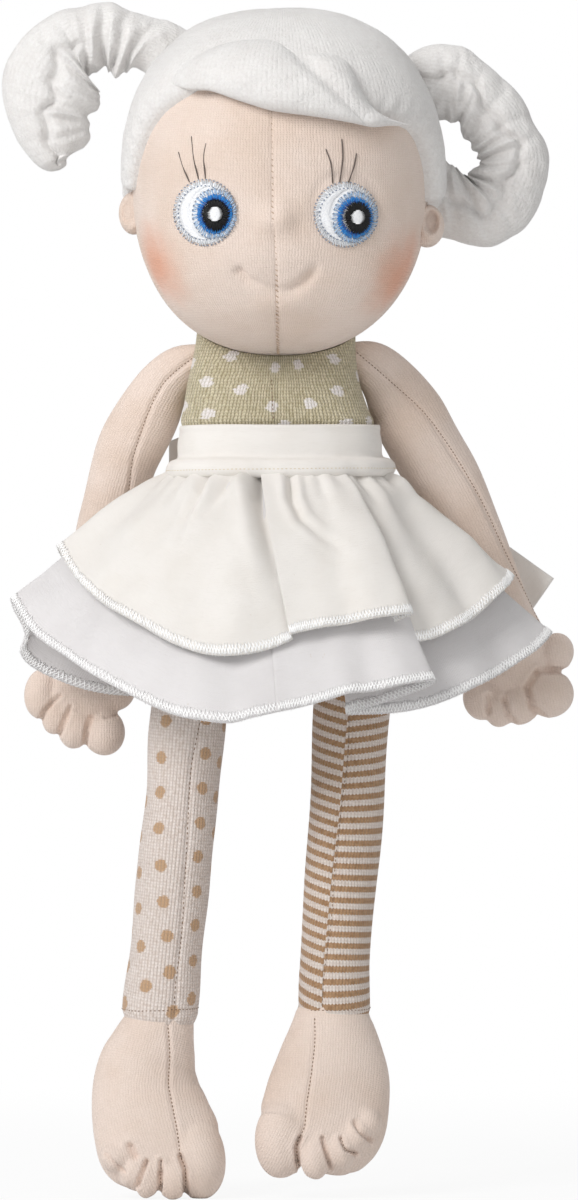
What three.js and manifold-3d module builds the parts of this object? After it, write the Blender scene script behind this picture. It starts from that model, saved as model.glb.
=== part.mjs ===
// A stuffed cloth doll, about 36 cm tall, upright and facing -Y, in millimetres.
// The origin is the centre of the waist, where a hand or a doll stand holds it.

import * as THREE from 'three';
import { mergeVertices } from 'three/addons/utils/BufferGeometryUtils.js';
import Module from 'manifold-3d';

const wasm = await Module();
wasm.setup();

// Cloth and fit
const gap = 0.3;
const coverWall = 0.9;
const clothWall = 0.8;

// Torso, heights measured from the waist
const shoulderHeight = 34;
const shoulderHalfWidth = 24.5;
const shoulderHalfDepth = 13;
const shoulderSetback = 3;
const chestHeight = 18;
const chestHalfWidth = 27;
const chestHalfDepth = 18.5;
const waistHalfWidth = 29.2;
const waistHalfDepth = 21;
const hipDrop = 30;
const hipHalfWidth = 35;
const hipHalfDepth = 22;
const torsoDrop = 49;
const seatHalfWidth = 22;
const seatHalfDepth = 11;

// Waistband and skirt
const bandRise = 7.3;
const bandDrop = 7.7;
const bandWall = 2.6;
const upperHemHalfWidth = 67;
const upperHemFront = 43;
const upperHemBack = 33;
const upperFrontDrop = 60;
const upperSideDrop = 31;
const upperBackDrop = 53;
const lowerHemHalfWidth = 80;
const lowerHemFront = 47;
const lowerHemBack = 31;
const lowerFrontDrop = 80;
const lowerSideDrop = 51;
const lowerBackDrop = 73;
const foldDepth = 3.2;
const foldCount = 16;
const pleatDepth = 9;
const pleatTurn = -0.93;
const skirtPuff = 3.5;
const puffReach = 40;

// Bow at the back
const knotHalfWidth = 6.5;
const knotHalfHeight = 6.5;
const knotHalfDepth = 4;
const loopLength = 30;
const loopBulge = 5.5;
const tapeWidth = 14;
const gathered = 0.35;
const sideTailReach = 72;
const sideTailDrop = 33;
const hangingTailDrop = 66;

// Neck
const neckBallRadius = 8.5;
const neckRadius = 7;
const neckHeight = 17;
const neckSetback = 4;
const neckInHead = 30;
const nodBack = 15;
const headTurn = 30;
const headClearance = 1;

// Head, measured from the centre of the neck ball
const headRise = 61.2;
const headLead = 16;
const headHalfWidth = 43.8;
const headHalfDepth = 43;
const headHalfHeight = 50;
const headFullness = 2.25;
const earHeight = -11;
const earLead = 4;
const earHalfWidth = 5;
const earHalfDepth = 3.4;
const earHalfHeight = 7;

// Hair, heights measured from the centre of the head
const hairWall = 3;
const hairlineHeight = 28;
const hairlineLead = 36;
const napeDrop = 31;
const napeSetback = 40;
const fringeHalfHeight = 8.6;
const fringeHalfDepth = 5;
const fringePath = [
  [-35, 27, 0.42],
  [-22, 35, 0.72],
  [-8, 35, 1.05],
  [7, 31, 1],
  [21, 28, 0.92],
  [31, 23, 0.62],
  [38, 19, 0.4],
];

// Eyes, placed from the centre of the head and made of nested bands of thread
const threadHeight = 0.8;
const eyeSpread = 21.2;
const eyeDrop = 7.7;
const eyeHalfHeight = 9.2;
const glintRadius = 1.7;
const pupilBand = 2.6;
const irisBand = 1.9;
const whiteBand = 1.1;
const eyeAside = 2.1;
const lashRadius = 0.3;
const lashFoot = 1.1;
const lashLength = 10.5;
const lashSpread = 3.2;
const lashLean = 13;

// Pigtails: across, up, back and radius, from the centre of the root
const rootRadius = 5.5;
const rootBack = 9.6;
const rootSeat = 1.2;
const flopUp = 30;
const flopDown = 8;
const rightRootAngle = 128;
const leftRootAngle = 36;
const rightPigtail = [
  [0, 0, 0, 5],
  [-11, 2.5, 2, 8.5],
  [-22, -1.5, 4, 11],
  [-30.5, -11, 5, 13.4],
  [-32.5, -22.5, 5, 13.6],
  [-31, -32, 4, 10],
  [-29.5, -38, 3, 4],
];
const leftPigtail = [
  [0, 0, 0, 5],
  [11.5, -1, 4, 9.6],
  [22.5, -12, 7, 10.2],
  [26.5, -25.5, 8, 10.4],
  [22, -36, 8, 10.7],
  [13.5, -40.3, 7, 10],
  [7, -37.5, 6, 7],
  [3, -34, 6, 3],
];

// Arms, from the shoulder joint to the palm
const shoulderJointOut = 28;
const shoulderJointUp = 25.5;
const shoulderJointBack = 3;
const shoulderBallRadius = 5.8;
const armLength = 103;
const armSlant = 26;
const armSlantEase = 0.65;
const upperArmRadius = 9.9;
const elbowRadius = 9;
const wristRadius = 7;
const palmHalfWidth = 11.5;
const palmHalfDepth = 6.8;
const fingerRadius = 4.9;
const thumbRadius = 4.8;
const rightArmSpread = 17;
const leftArmSpread = 25;
const rightArmBow = 8.8;
const leftArmBow = 6.6;

// Legs, from the hip joint to the ankle joint
const hipSpread = 23.8;
const hipJointDrop = 44;
const legLength = 122.5;
const thighRadius = 11.6;
const calfRadius = 11.3;
const ankleRadius = 10.7;
const rightLegSplay = 5.3;
const leftLegSplay = 3.6;
const legSwingBack = 20;
const legSwingForward = 95;
const legSideRoom = 2;

// Feet, from the ankle joint down to the toes
const footDrop = 52;
const heelHalfWidth = 14.6;
const ballHalfWidth = 18;
const heelHalfDepth = 12.6;
const ballHalfDepth = 9;
const footLead = 21;
const toeRadius = 4.6;
const bigToeRadius = 7.2;
const rightFootTurn = -5.3;
const leftFootTurn = 4;

// How finely the forms are faceted
const limbSides = 10;
const hollowSides = 7;
const bodySides = 16;
const headAround = 18;
const headUp = 11;
const ballAround = 10;
const ballUp = 6;
const jointAround = 14;
const jointUp = 8;
const lobeAround = 6;
const lobeUp = 5;
const patchSides = 16;
const skirtSteps = 52;
const skirtRows = 4;

// Colours
const jersey = 0xddcbba;
const velour = 0xeeecec;
const oliveKnit = 0xb0aa82;
const cotton = 0xf3f0eb;
const dottedKnit = 0xe2d6d0;
const stripedKnit = 0xc9b095;
const fibre = 0xf4f4f2;
const whiteThread = 0xdfe4ea;
const blueThread = 0x286ebe;
const blackThread = 0x16161c;
const lashThread = 0x5a4b46;

const degrees = Math.PI / 180;

// Solids and pieces

function solidOf(geometry) {
  const bare = geometry.clone();
  bare.deleteAttribute('normal');
  bare.deleteAttribute('uv');
  const merged = mergeVertices(bare, 1e-4);
  const corners = merged.index.array;
  const triangles = [];
  for (let at = 0; at < corners.length; at += 3) {
    const [a, b, c] = corners.slice(at, at + 3);
    if (a !== b && b !== c && c !== a) triangles.push(a, b, c);
  }
  return new wasm.Manifold(new wasm.Mesh({
    numProp: 3,
    vertProperties: new Float32Array(merged.attributes.position.array),
    triVerts: new Uint32Array(triangles),
  }));
}

function geometryOf(solid) {
  const mesh = solid.getMesh();
  const geometry = new THREE.BufferGeometry();
  geometry.setAttribute('position', new THREE.BufferAttribute(mesh.vertProperties, 3));
  geometry.setIndex(new THREE.BufferAttribute(mesh.triVerts, 1));
  geometry.computeVertexNormals();
  return geometry;
}

function piece(name, solid, colour, roughness) {
  const material = new THREE.MeshStandardMaterial({ color: colour, roughness, metalness: 0 });
  const mesh = new THREE.Mesh(geometryOf(solid), material);
  mesh.name = name;
  return mesh;
}

function moved(solid, x, y, z) {
  return solid.translate([x, y, z]);
}

// A solid turned about the Y axis by an angle in degrees, as a group with that turn would be.
function turned(solid, angle) {
  return solid.rotate([0, angle, 0]);
}

function ellipsoid(halfWidth, halfDepth, halfHeight, around = ballAround, up = ballUp) {
  const shape = new THREE.SphereGeometry(1, around, up);
  shape.rotateX(Math.PI / 2);
  shape.scale(halfWidth, halfDepth, halfHeight);
  return solidOf(shape);
}

// A cylinder from one point towards another direction.
function rod(from, direction, length, radius, sides = 16) {
  const shape = new THREE.CylinderGeometry(radius, radius, length, sides);
  shape.translate(0, length / 2, 0);
  const turn = new THREE.Quaternion().setFromUnitVectors(
    new THREE.Vector3(0, 1, 0),
    direction.clone().normalize(),
  );
  shape.applyQuaternion(turn);
  shape.translate(from.x, from.y, from.z);
  return solidOf(shape);
}

// Lofts

function roundSection(sides) {
  const section = [];
  for (let step = 0; step < sides; step += 1) {
    const turn = (2 * Math.PI * step) / sides;
    section.push([Math.cos(turn), Math.sin(turn)]);
  }
  return section;
}

const tapeSection = [[1, 1], [-1, 1], [-1, -1], [1, -1]];

// A closed body through rings of {centre, sideways, frontways}, fanned shut at both ends.
function loft(rings, section) {
  const points = [];
  for (const { centre, sideways, frontways } of rings) {
    for (const [across, along] of section) {
      points.push(centre.clone()
        .addScaledVector(sideways, across)
        .addScaledVector(frontways, along));
    }
  }
  const first = points.push(rings[0].centre.clone()) - 1;
  const last = points.push(rings[rings.length - 1].centre.clone()) - 1;
  const count = section.length;
  const top = (rings.length - 1) * count;
  const index = [];
  for (let side = 0; side < count; side += 1) {
    const next = (side + 1) % count;
    for (let ring = 0; ring < rings.length - 1; ring += 1) {
      const here = ring * count;
      const above = here + count;
      index.push(here + side, here + next, above + next);
      index.push(here + side, above + next, above + side);
    }
    index.push(first, next, side);
    index.push(last, top + side, top + next);
  }
  const geometry = new THREE.BufferGeometry().setFromPoints(points);
  geometry.setIndex(index);
  return solidOf(geometry);
}

// Stations are [x, y, z, wide, deep]; the loft follows a smooth line through them.
function limb(stations, options) {
  const { extra = 0, section, steps, startShift = extra, endShift = extra } = options;
  const line = new THREE.CatmullRomCurve3(stations.map(([x, y, z]) => new THREE.Vector3(x, y, z)));
  const sizes = new THREE.CatmullRomCurve3(
    stations.map(([, , , wide, deep]) => new THREE.Vector3(wide, deep, 0)),
  );
  const back = new THREE.Vector3(0, 1, 0);
  const rings = [];
  for (let step = 0; step <= steps; step += 1) {
    const along = line.getTangent(step / steps);
    const size = sizes.getPoint(step / steps);
    const sideways = back.clone().cross(along).normalize();
    const frontways = along.clone().cross(sideways);
    const centre = line.getPoint(step / steps);
    if (step === 0) centre.addScaledVector(along, -startShift);
    if (step === steps) centre.addScaledVector(along, endShift);
    rings.push({
      centre,
      sideways: sideways.multiplyScalar(size.x + extra),
      frontways: frontways.multiplyScalar(size.y + extra),
    });
  }
  return loft(rings, section);
}

// A strip of cloth along points, gathered at its first end, with its width along one direction.
function tape(points, acrossDirection, width, wall, steps) {
  const line = new THREE.CatmullRomCurve3(points);
  const rings = [];
  for (let step = 0; step <= steps; step += 1) {
    const along = line.getTangent(step / steps);
    const across = acrossDirection.clone().addScaledVector(along, -acrossDirection.dot(along)).normalize();
    rings.push({
      centre: line.getPoint(step / steps),
      sideways: across.clone().multiplyScalar((width / 2) * Math.min(gathered + (2 * step) / steps, 1)),
      frontways: along.clone().cross(across).multiplyScalar(wall / 2),
    });
  }
  return loft(rings, tapeSection);
}

// Head

const headCentre = new THREE.Vector3(0, neckSetback - headLead, neckHeight + headRise);
const shoulderJoint = new THREE.Vector3(shoulderJointOut, shoulderJointBack, shoulderJointUp);
const hipJoint = new THREE.Vector3(hipSpread, 0, -hipJointDrop);
const neckJoint = new THREE.Vector3(0, neckSetback, neckHeight);

// How far along a direction the head's surface lies, grown by extra.
function headReach(direction, extra) {
  const sum = Math.abs(direction.x / (headHalfWidth + extra)) ** headFullness
    + Math.abs(direction.y / (headHalfDepth + extra)) ** headFullness
    + Math.abs(direction.z / (headHalfHeight + extra)) ** headFullness;
  return sum ** (-1 / headFullness);
}

function headForm(extra) {
  const shape = new THREE.SphereGeometry(1, headAround, headUp);
  shape.rotateX(Math.PI / 2);
  const positions = shape.attributes.position;
  const point = new THREE.Vector3();
  for (let at = 0; at < positions.count; at += 1) {
    point.fromBufferAttribute(positions, at);
    point.multiplyScalar(headReach(point, extra)).add(headCentre);
    positions.setXYZ(at, point.x, point.y, point.z);
  }
  return solidOf(shape);
}

// The point on the front of the head at a place seen from the front.
function faceReach(x, z, extra) {
  const rest = 1 - Math.abs(x / (headHalfWidth + extra)) ** headFullness
    - Math.abs(z / (headHalfHeight + extra)) ** headFullness;
  return (headHalfDepth + extra) * Math.max(rest, 0) ** (1 / headFullness);
}

function facePoint(x, z, extra) {
  return new THREE.Vector3(
    headCentre.x + x,
    headCentre.y - faceReach(x, z, extra),
    headCentre.z + z,
  );
}

// Everything on the hair side of the hairline plane, grown by extra.
function hairSide(extra) {
  const size = 8 * headHalfHeight;
  const front = new THREE.Vector3(0, -hairlineLead, hairlineHeight);
  const nape = new THREE.Vector3(0, napeSetback, -napeDrop);
  const slope = Math.atan2(nape.z - front.z, nape.y - front.y);
  const shape = new THREE.BoxGeometry(size, size, size);
  shape.translate(0, 0, size / 2 - extra);
  shape.rotateX(slope);
  shape.translate(0, headCentre.y + front.y, headCentre.z + front.z);
  return solidOf(shape);
}

function hairForm(extra) {
  return headForm(gap + hairWall + extra).intersect(hairSide(extra));
}

function earForm(side, extra) {
  const place = [
    side * (headHalfWidth + earHalfWidth * 0.2),
    headCentre.y - earLead,
    headCentre.z + earHeight,
  ];
  return ellipsoid(earHalfWidth + extra, earHalfDepth + extra, earHalfHeight + extra).translate(place);
}

function ear(name, side) {
  const dish = ellipsoid(earHalfWidth * 0.45, earHalfDepth * 0.7, earHalfHeight * 0.55)
    .translate([side * (headHalfWidth + earHalfWidth), headCentre.y - earLead - earHalfDepth,
      headCentre.z + earHeight]);
  const solid = earForm(side, 0).subtract(headForm(gap)).subtract(hairForm(gap)).subtract(dish);
  return piece(name, solid, jersey, 0.9);
}

function neckStem(extra) {
  return rod(neckJoint, new THREE.Vector3(0, 0, 1), neckInHead + extra, neckRadius + extra);
}

function jointBall(radius) {
  return ellipsoid(radius, radius, radius, jointAround, jointUp);
}

function neckBall(extra) {
  return jointBall(neckBallRadius + extra).translate(neckJoint.toArray());
}

function headParts() {
  const hollow = headForm(-coverWall);
  const cover = headForm(0).subtract(hollow).subtract(neckStem(gap));
  const filling = headForm(-coverWall - gap).subtract(neckStem(gap));
  const cap = hairForm(0).subtract(headForm(gap));
  return [
    piece('head_cover', cover, jersey, 0.9),
    piece('head_filling', filling, fibre, 1),
    piece('hair_cap', cap, velour, 0.95),
    ear('ear_right', -1),
    ear('ear_left', 1),
  ];
}

function fringe() {
  const lift = gap + hairWall;
  const stations = fringePath.map(([x, z, share]) => {
    const point = facePoint(x, z, lift);
    return [point.x, point.y, point.z, fringeHalfHeight * share, fringeHalfDepth * Math.sqrt(share)];
  });
  const roll = limb(stations, { section: roundSection(ballAround), steps: 12, endShift: 2, startShift: 2 });
  const solid = roll.subtract(headForm(gap)).subtract(hairForm(gap));
  return piece('hair_fringe', solid, velour, 0.95);
}

// Eyes and lashes

function threadPatch(x, z, halfWidth, halfHeight) {
  const shape = new THREE.CylinderGeometry(1, 1, headHalfDepth, patchSides);
  shape.scale(halfWidth, 1, halfHeight);
  shape.translate(headCentre.x + x, headCentre.y - headHalfDepth, headCentre.z + z);
  return solidOf(shape);
}

function eye(label, side) {
  const skin = headForm(gap + threadHeight).subtract(headForm(gap));
  const centre = side * eyeSpread;
  const pupilRadius = glintRadius + pupilBand;
  const irisRadius = pupilRadius + irisBand;
  const eyeHalfWidth = irisRadius + whiteBand + eyeAside;
  const patch = (radius, high, shift, extra) => threadPatch(
    centre + shift,
    -eyeDrop,
    radius + extra,
    high + extra,
  );
  const bands = [
    ['eye_white', eyeHalfWidth, eyeHalfHeight, 0, whiteThread],
    ['iris', irisRadius, irisRadius, eyeAside, blueThread],
    ['pupil', pupilRadius, pupilRadius, eyeAside, blackThread],
    ['glint', glintRadius, glintRadius, eyeAside, fibre],
  ];
  return bands.map(([name, radius, high, shift, colour], at) => {
    let solid = skin.intersect(patch(radius, high, shift, 0));
    const inner = bands[at + 1];
    if (inner) solid = solid.subtract(patch(inner[1], inner[2], inner[3], gap));
    return piece(`${name}_${label}`, solid, colour, 0.6);
  });
}

function lash(name, x, lean) {
  const lift = gap + lashRadius;
  const foot = -eyeDrop + eyeHalfHeight + lashFoot;
  const points = [0, 0.5, 1].map((share) => facePoint(
    x + Math.sin(lean * degrees) * lashLength * share,
    foot + lashLength * share,
    lift,
  ));
  const shape = new THREE.Shape().absarc(0, 0, lashRadius, 0, 2 * Math.PI);
  const thread = new THREE.ExtrudeGeometry(shape, {
    steps: 4,
    curveSegments: 5,
    bevelEnabled: false,
    extrudePath: new THREE.CatmullRomCurve3(points),
  });
  return piece(name, solidOf(thread), lashThread, 0.8);
}

function lashes(label, side) {
  return [-1, 0, 1].map((place) => lash(
    `lash_${label}_${place + 2}`,
    side * eyeSpread + place * lashSpread,
    place * lashLean + side * lashLean * 0.3,
  ));
}

// Pigtails

// The centre of a pigtail's root, a ball seated against the hair cap.
function rootPlace(angle) {
  const across = Math.cos(angle * degrees);
  const up = Math.sin(angle * degrees);
  const direction = new THREE.Vector3(across, rootBack / headHalfWidth, up).normalize();
  const reach = headReach(direction, gap + hairWall) + rootRadius - rootSeat;
  return direction.multiplyScalar(reach).add(headCentre);
}

function pigtail(name, side, angle, path) {
  const root = rootPlace(angle);
  const stations = path.map(([across, up, back, radius]) => [across, back, up, radius, radius]);
  const curl = limb(stations, { section: roundSection(ballAround), steps: 14, startShift: 0, endShift: 1 });
  const ball = ellipsoid(rootRadius, rootRadius, rootRadius);
  const around = moved(
    hairForm(gap).add(headForm(gap)).add(earForm(side, gap)),
    -root.x,
    -root.y,
    -root.z,
  );
  let solid = curl.add(ball);
  for (const flop of [-flopDown, 0, flopUp / 2, flopUp]) {
    solid = solid.subtract(turned(around, side * flop));
  }
  const mesh = piece(name, solid, velour, 0.95);
  mesh.position.copy(root);
  return mesh;
}

// Neck

function neck() {
  return piece('neck', neckBall(0).add(neckStem(0)), jersey, 0.9);
}

// Torso

const torsoStations = [
  [0, 0, -torsoDrop, seatHalfWidth, seatHalfDepth],
  [0, 0, -(torsoDrop + hipDrop) / 2, (seatHalfWidth + hipHalfWidth) / 2 + 2.5, hipHalfDepth - 2],
  [0, 0, -hipDrop, hipHalfWidth, hipHalfDepth],
  [0, 0, -(hipDrop + bandDrop) / 2, (hipHalfWidth + waistHalfWidth) / 2, hipHalfDepth - 0.3],
  [0, 0, 0, waistHalfWidth, waistHalfDepth],
  [0, 0, chestHeight, chestHalfWidth, chestHalfDepth],
  [0, shoulderSetback, shoulderHeight, shoulderHalfWidth, shoulderHalfDepth],
];

function torsoLoft(extra) {
  return limb(torsoStations, { extra, section: roundSection(bodySides), steps: 9 });
}

// The torso's half-width and half-depth at a height.
function torsoGirth(height) {
  const line = new THREE.CatmullRomCurve3(
    torsoStations.map(([, , z, wide, deep]) => new THREE.Vector3(wide, deep, z)),
  );
  let low = 0;
  let high = 1;
  while (high - low > 1e-6) {
    const middle = (low + high) / 2;
    if (line.getPoint(middle).z < height) low = middle;
    else high = middle;
  }
  return line.getPoint(low);
}

// The room that a leg needs as it swings about its hip joint: a fan, seen from the side.
function legRoom(side, extra) {
  const radius = thighRadius + extra;
  const back = -90 * degrees + legSwingBack * degrees;
  const forward = -90 * degrees - legSwingForward * degrees;
  const along = (angle, reach) => [Math.cos(angle) * reach, Math.sin(angle) * reach];
  const corner = (angle, turn) => {
    const [y, z] = along(angle, legLength / 2);
    const [outY, outZ] = along(angle + turn, radius);
    return [y + outY, z + outZ];
  };
  const fan = new THREE.Shape();
  fan.moveTo(...corner(back, Math.PI / 2));
  fan.lineTo(...along(back + Math.PI / 2, radius));
  fan.absarc(0, 0, radius, back + Math.PI / 2, forward - Math.PI / 2 + 2 * Math.PI, false);
  fan.lineTo(...corner(forward, -Math.PI / 2));
  fan.lineTo(-legLength, -legLength);
  const halfWidth = radius + legSideRoom;
  const shape = new THREE.ExtrudeGeometry(fan, {
    depth: 2 * halfWidth,
    bevelEnabled: false,
    curveSegments: 4,
  });
  shape.translate(0, 0, -halfWidth);
  shape.applyMatrix4(new THREE.Matrix4().set(0, 0, 1, 0, 1, 0, 0, 0, 0, 1, 0, 0, 0, 0, 0, 1));
  return moved(solidOf(shape), side * hipJoint.x, hipJoint.y, hipJoint.z);
}

// The room that the head needs over the chest as it turns on the neck and nods back with it.
function headRoom(extra) {
  const head = headForm(headClearance + extra).translate(neckJoint.clone().negate().toArray());
  const turnedHeads = head.rotate([0, 0, -headTurn])
    .add(head)
    .add(head.rotate([0, 0, headTurn]));
  return turnedHeads.add(turnedHeads.rotate([-nodBack, 0, 0])).translate(neckJoint.toArray());
}

function neckRoom(extra) {
  const lean = nodBack * degrees;
  const upright = rod(neckJoint, new THREE.Vector3(0, 0, 1), neckInHead, neckRadius + extra);
  const leaning = new THREE.Vector3(0, Math.sin(lean), Math.cos(lean));
  return upright.add(rod(neckJoint, leaning, neckInHead, neckRadius + extra));
}

function shoulderRoom(extra) {
  const ball = jointBall(shoulderBallRadius + extra);
  return moved(ball, -shoulderJoint.x, shoulderJoint.y, shoulderJoint.z)
    .add(moved(ball, shoulderJoint.x, shoulderJoint.y, shoulderJoint.z));
}

function torsoForm(extra) {
  return torsoLoft(extra)
    .subtract(legRoom(-1, gap - extra))
    .subtract(legRoom(1, gap - extra))
    .subtract(headRoom(gap - extra))
    .subtract(shoulderRoom(gap - extra));
}

function torsoParts() {
  const cover = torsoForm(0)
    .subtract(torsoForm(-coverWall))
    .subtract(neckRoom(gap))
    .subtract(neckBall(gap));
  const filling = torsoForm(-coverWall - gap)
    .subtract(neckRoom(gap))
    .subtract(neckBall(gap));
  return [
    piece('torso_cover', cover, oliveKnit, 0.95),
    piece('torso_filling', filling, fibre, 1),
  ];
}

// Waistband and skirt

function waistband() {
  const size = 4 * hipHalfWidth;
  const slab = solidOf(new THREE.BoxGeometry(size, size, bandRise + bandDrop))
    .translate([0, 0, (bandRise - bandDrop) / 2]);
  const ring = torsoLoft(gap + bandWall).subtract(torsoLoft(gap)).intersect(slab);
  return piece('waistband', ring, cotton, 0.9);
}

// One point of a tier's middle surface and its outward direction.
function tierPoint(tier, turn, down) {
  const girth = torsoGirth(-bandDrop);
  const out = new THREE.Vector3(Math.cos(turn), Math.sin(turn), 0);
  const frontShare = Math.max(-out.y, 0);
  const backShare = Math.max(out.y, 0);
  const waist = new THREE.Vector3(
    (girth.x + tier.waistLift) * out.x,
    (girth.y + tier.waistLift) * out.y,
    -bandDrop - gap - clothWall / 2,
  );
  const hem = new THREE.Vector3(
    tier.halfWidth * out.x,
    tier.back * backShare ** tier.flatness - tier.front * frontShare ** 1.2,
    -(tier.sideDrop
      + (tier.frontDrop - tier.sideDrop) * frontShare ** 1.5
      + (tier.backDrop - tier.sideDrop) * backShare ** 1.5),
  );
  const fall = hem.clone().sub(waist);
  const reach = fall.dot(out);
  const normal = out.clone().multiplyScalar(-fall.z).add(new THREE.Vector3(0, 0, reach)).normalize();
  const past = (turn - pleatTurn + 4 * Math.PI) % (2 * Math.PI);
  const pleat = past < 1 ? -pleatDepth * Math.sin(Math.PI * past ** 0.5) : 0;
  const ripple = foldDepth * Math.cos(foldCount * turn);
  const run = down * fall.length();
  const puff = skirtPuff * Math.sin(Math.PI * Math.min(run / puffReach, 1)) * (1 - backShare);
  const point = waist.addScaledVector(fall, down);
  point.addScaledVector(normal, puff + (ripple + pleat) * (run / lowerFrontDrop));
  return { point, normal };
}

function skirtTier(name, tier) {
  const points = [];
  for (const lift of [clothWall / 2, -clothWall / 2]) {
    for (let row = 0; row <= skirtRows; row += 1) {
      for (let step = 0; step < skirtSteps; step += 1) {
        const { point, normal } = tierPoint(tier, (2 * Math.PI * step) / skirtSteps, row / skirtRows);
        points.push(point.addScaledVector(normal, lift));
      }
    }
  }
  const inner = (skirtRows + 1) * skirtSteps;
  const index = [];
  const quad = (a, b, c, d) => index.push(a, b, c, a, c, d);
  for (let step = 0; step < skirtSteps; step += 1) {
    const next = (step + 1) % skirtSteps;
    for (let row = 0; row < skirtRows; row += 1) {
      const here = row * skirtSteps;
      const below = here + skirtSteps;
      quad(below + step, below + next, here + next, here + step);
      quad(inner + below + next, inner + below + step, inner + here + step, inner + here + next);
    }
    const hem = skirtRows * skirtSteps;
    quad(step, next, inner + next, inner + step);
    quad(hem + next, hem + step, inner + hem + step, inner + hem + next);
  }
  const geometry = new THREE.BufferGeometry().setFromPoints(points);
  geometry.setIndex(index);
  return piece(name, solidOf(geometry), cotton, 0.9);
}

function skirtParts() {
  return [
    skirtTier('skirt_lower_tier', {
      waistLift: gap + clothWall / 2,
      halfWidth: lowerHemHalfWidth,
      front: lowerHemFront,
      back: lowerHemBack,
      flatness: 3.4,
      frontDrop: lowerFrontDrop,
      sideDrop: lowerSideDrop,
      backDrop: lowerBackDrop,
    }),
    skirtTier('skirt_upper_tier', {
      waistLift: gap + bandWall - clothWall / 2,
      halfWidth: upperHemHalfWidth,
      front: upperHemFront,
      back: upperHemBack,
      flatness: 2.5,
      frontDrop: upperFrontDrop,
      sideDrop: upperSideDrop,
      backDrop: upperBackDrop,
    }),
  ];
}

// Bow

const bandBack = waistHalfDepth + gap + bandWall;
const knotPlace = new THREE.Vector3(0, bandBack + gap + knotHalfDepth, 0);

function knot() {
  const solid = ellipsoid(knotHalfWidth, knotHalfDepth, knotHalfHeight, 12, 8)
    .translate(knotPlace.toArray());
  return piece('bow_knot', solid, cotton, 0.9);
}

// A flattened loop of tape, seen from above as a drop, with its open eye running up and down.
function bowLoop(name, side) {
  const drop = (grow) => {
    const shape = new THREE.Shape();
    const root = -grow * 0.5;
    shape.moveTo(root, 0);
    shape.bezierCurveTo(loopLength * 0.3, loopBulge + grow, loopLength, loopBulge + grow, loopLength + grow, 0);
    shape.bezierCurveTo(loopLength, -loopBulge - grow, loopLength * 0.3, -loopBulge - grow, root, 0);
    return shape;
  };
  const options = { depth: tapeWidth, bevelEnabled: false, curveSegments: 7 };
  const outside = solidOf(new THREE.ExtrudeGeometry(drop(clothWall), options));
  const inside = solidOf(new THREE.ExtrudeGeometry(drop(-clothWall), { ...options, depth: 3 * tapeWidth }));
  const loop = outside.subtract(inside.translate([0, 0, -tapeWidth]));
  const solid = turned(loop, side > 0 ? 0 : 180)
    .translate([side * knotHalfWidth * 0.6, knotPlace.y, (side > 0 ? -1 : 1) * (tapeWidth / 2)]);
  const kept = solid
    .subtract(ellipsoid(knotHalfWidth + gap, knotHalfDepth + gap, knotHalfHeight + gap, 12, 8)
      .translate(knotPlace.toArray()))
    .subtract(torsoLoft(2 * gap + bandWall));
  const pieces = kept.decompose().sort((a, b) => b.volume() - a.volume());
  return piece(name, pieces[0], cotton, 0.9);
}

function bowTail(name, points, across) {
  const strip = tape(points, across, tapeWidth, clothWall, 8)
    .subtract(ellipsoid(knotHalfWidth + gap, knotHalfDepth + gap, knotHalfHeight + gap, 12, 8)
      .translate(knotPlace.toArray()));
  return piece(name, strip, cotton, 0.9);
}

function bowParts() {
  const from = (x, y, z) => knotPlace.clone().add(new THREE.Vector3(x, y, z));
  const side = [
    from(2, 1.4, -knotHalfHeight * 0.5),
    from(sideTailReach * 0.2, loopBulge + 4, -sideTailDrop * 0.42),
    from(sideTailReach * 0.6, loopBulge + 6, -sideTailDrop * 0.72),
    from(sideTailReach, loopBulge + 5, -sideTailDrop),
  ];
  const hanging = [
    from(0, -0.8, -knotHalfHeight - gap),
    from(-4, 5, -hangingTailDrop * 0.3),
    from(-8, 9, -hangingTailDrop * 0.65),
    from(-11, 10, -hangingTailDrop),
  ];
  return [
    knot(),
    bowLoop('bow_loop_right', -1),
    bowLoop('bow_loop_left', 1),
    bowTail('bow_tail_left', side, new THREE.Vector3(0.35, 0, 1)),
    bowTail('bow_tail_right', hanging, new THREE.Vector3(1, 0, -0.15)),
  ];
}

// Arms

function armStations(side, bow) {
  const shares = [
    [0, shoulderBallRadius * 0.95, shoulderBallRadius * 0.95],
    [0.09, (shoulderBallRadius + upperArmRadius) / 2, (shoulderBallRadius + upperArmRadius) / 2],
    [0.26, upperArmRadius, upperArmRadius],
    [0.5, elbowRadius, elbowRadius],
    [0.86, wristRadius, wristRadius],
    [0.97, palmHalfWidth, palmHalfDepth],
    [1.06, palmHalfWidth * 0.75, palmHalfDepth * 0.7],
  ];
  return shares.map(([share, wide, deep]) => [
    side * bow * Math.sin(Math.PI * Math.min(share, 1)) ** 0.8,
    armSlant * share ** armSlantEase,
    -armLength * share,
    wide,
    deep,
  ]);
}

function armForm(side, bow, extra, sides) {
  const ball = shoulderBallRadius + extra;
  return limb(armStations(side, bow), { extra, section: roundSection(sides), steps: 8, startShift: 0 })
    .add(ellipsoid(ball, ball, ball));
}

function fingers(side) {
  const centre = [0, armSlant, -armLength];
  const places = [-55, -20, 15, 48].map((angle) => [
    side * Math.sin(angle * degrees) * palmHalfWidth * 0.95,
    1,
    -Math.cos(angle * degrees) * palmHalfWidth * 0.85,
    fingerRadius,
  ]);
  places.push([side * palmHalfWidth, -1, 2, thumbRadius]);
  return places.map(([x, y, z, radius]) => ellipsoid(radius, radius * 1.1, radius * 1.25, lobeAround, lobeUp)
    .translate([centre[0] + x, centre[1] + y, centre[2] + z]));
}

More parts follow.
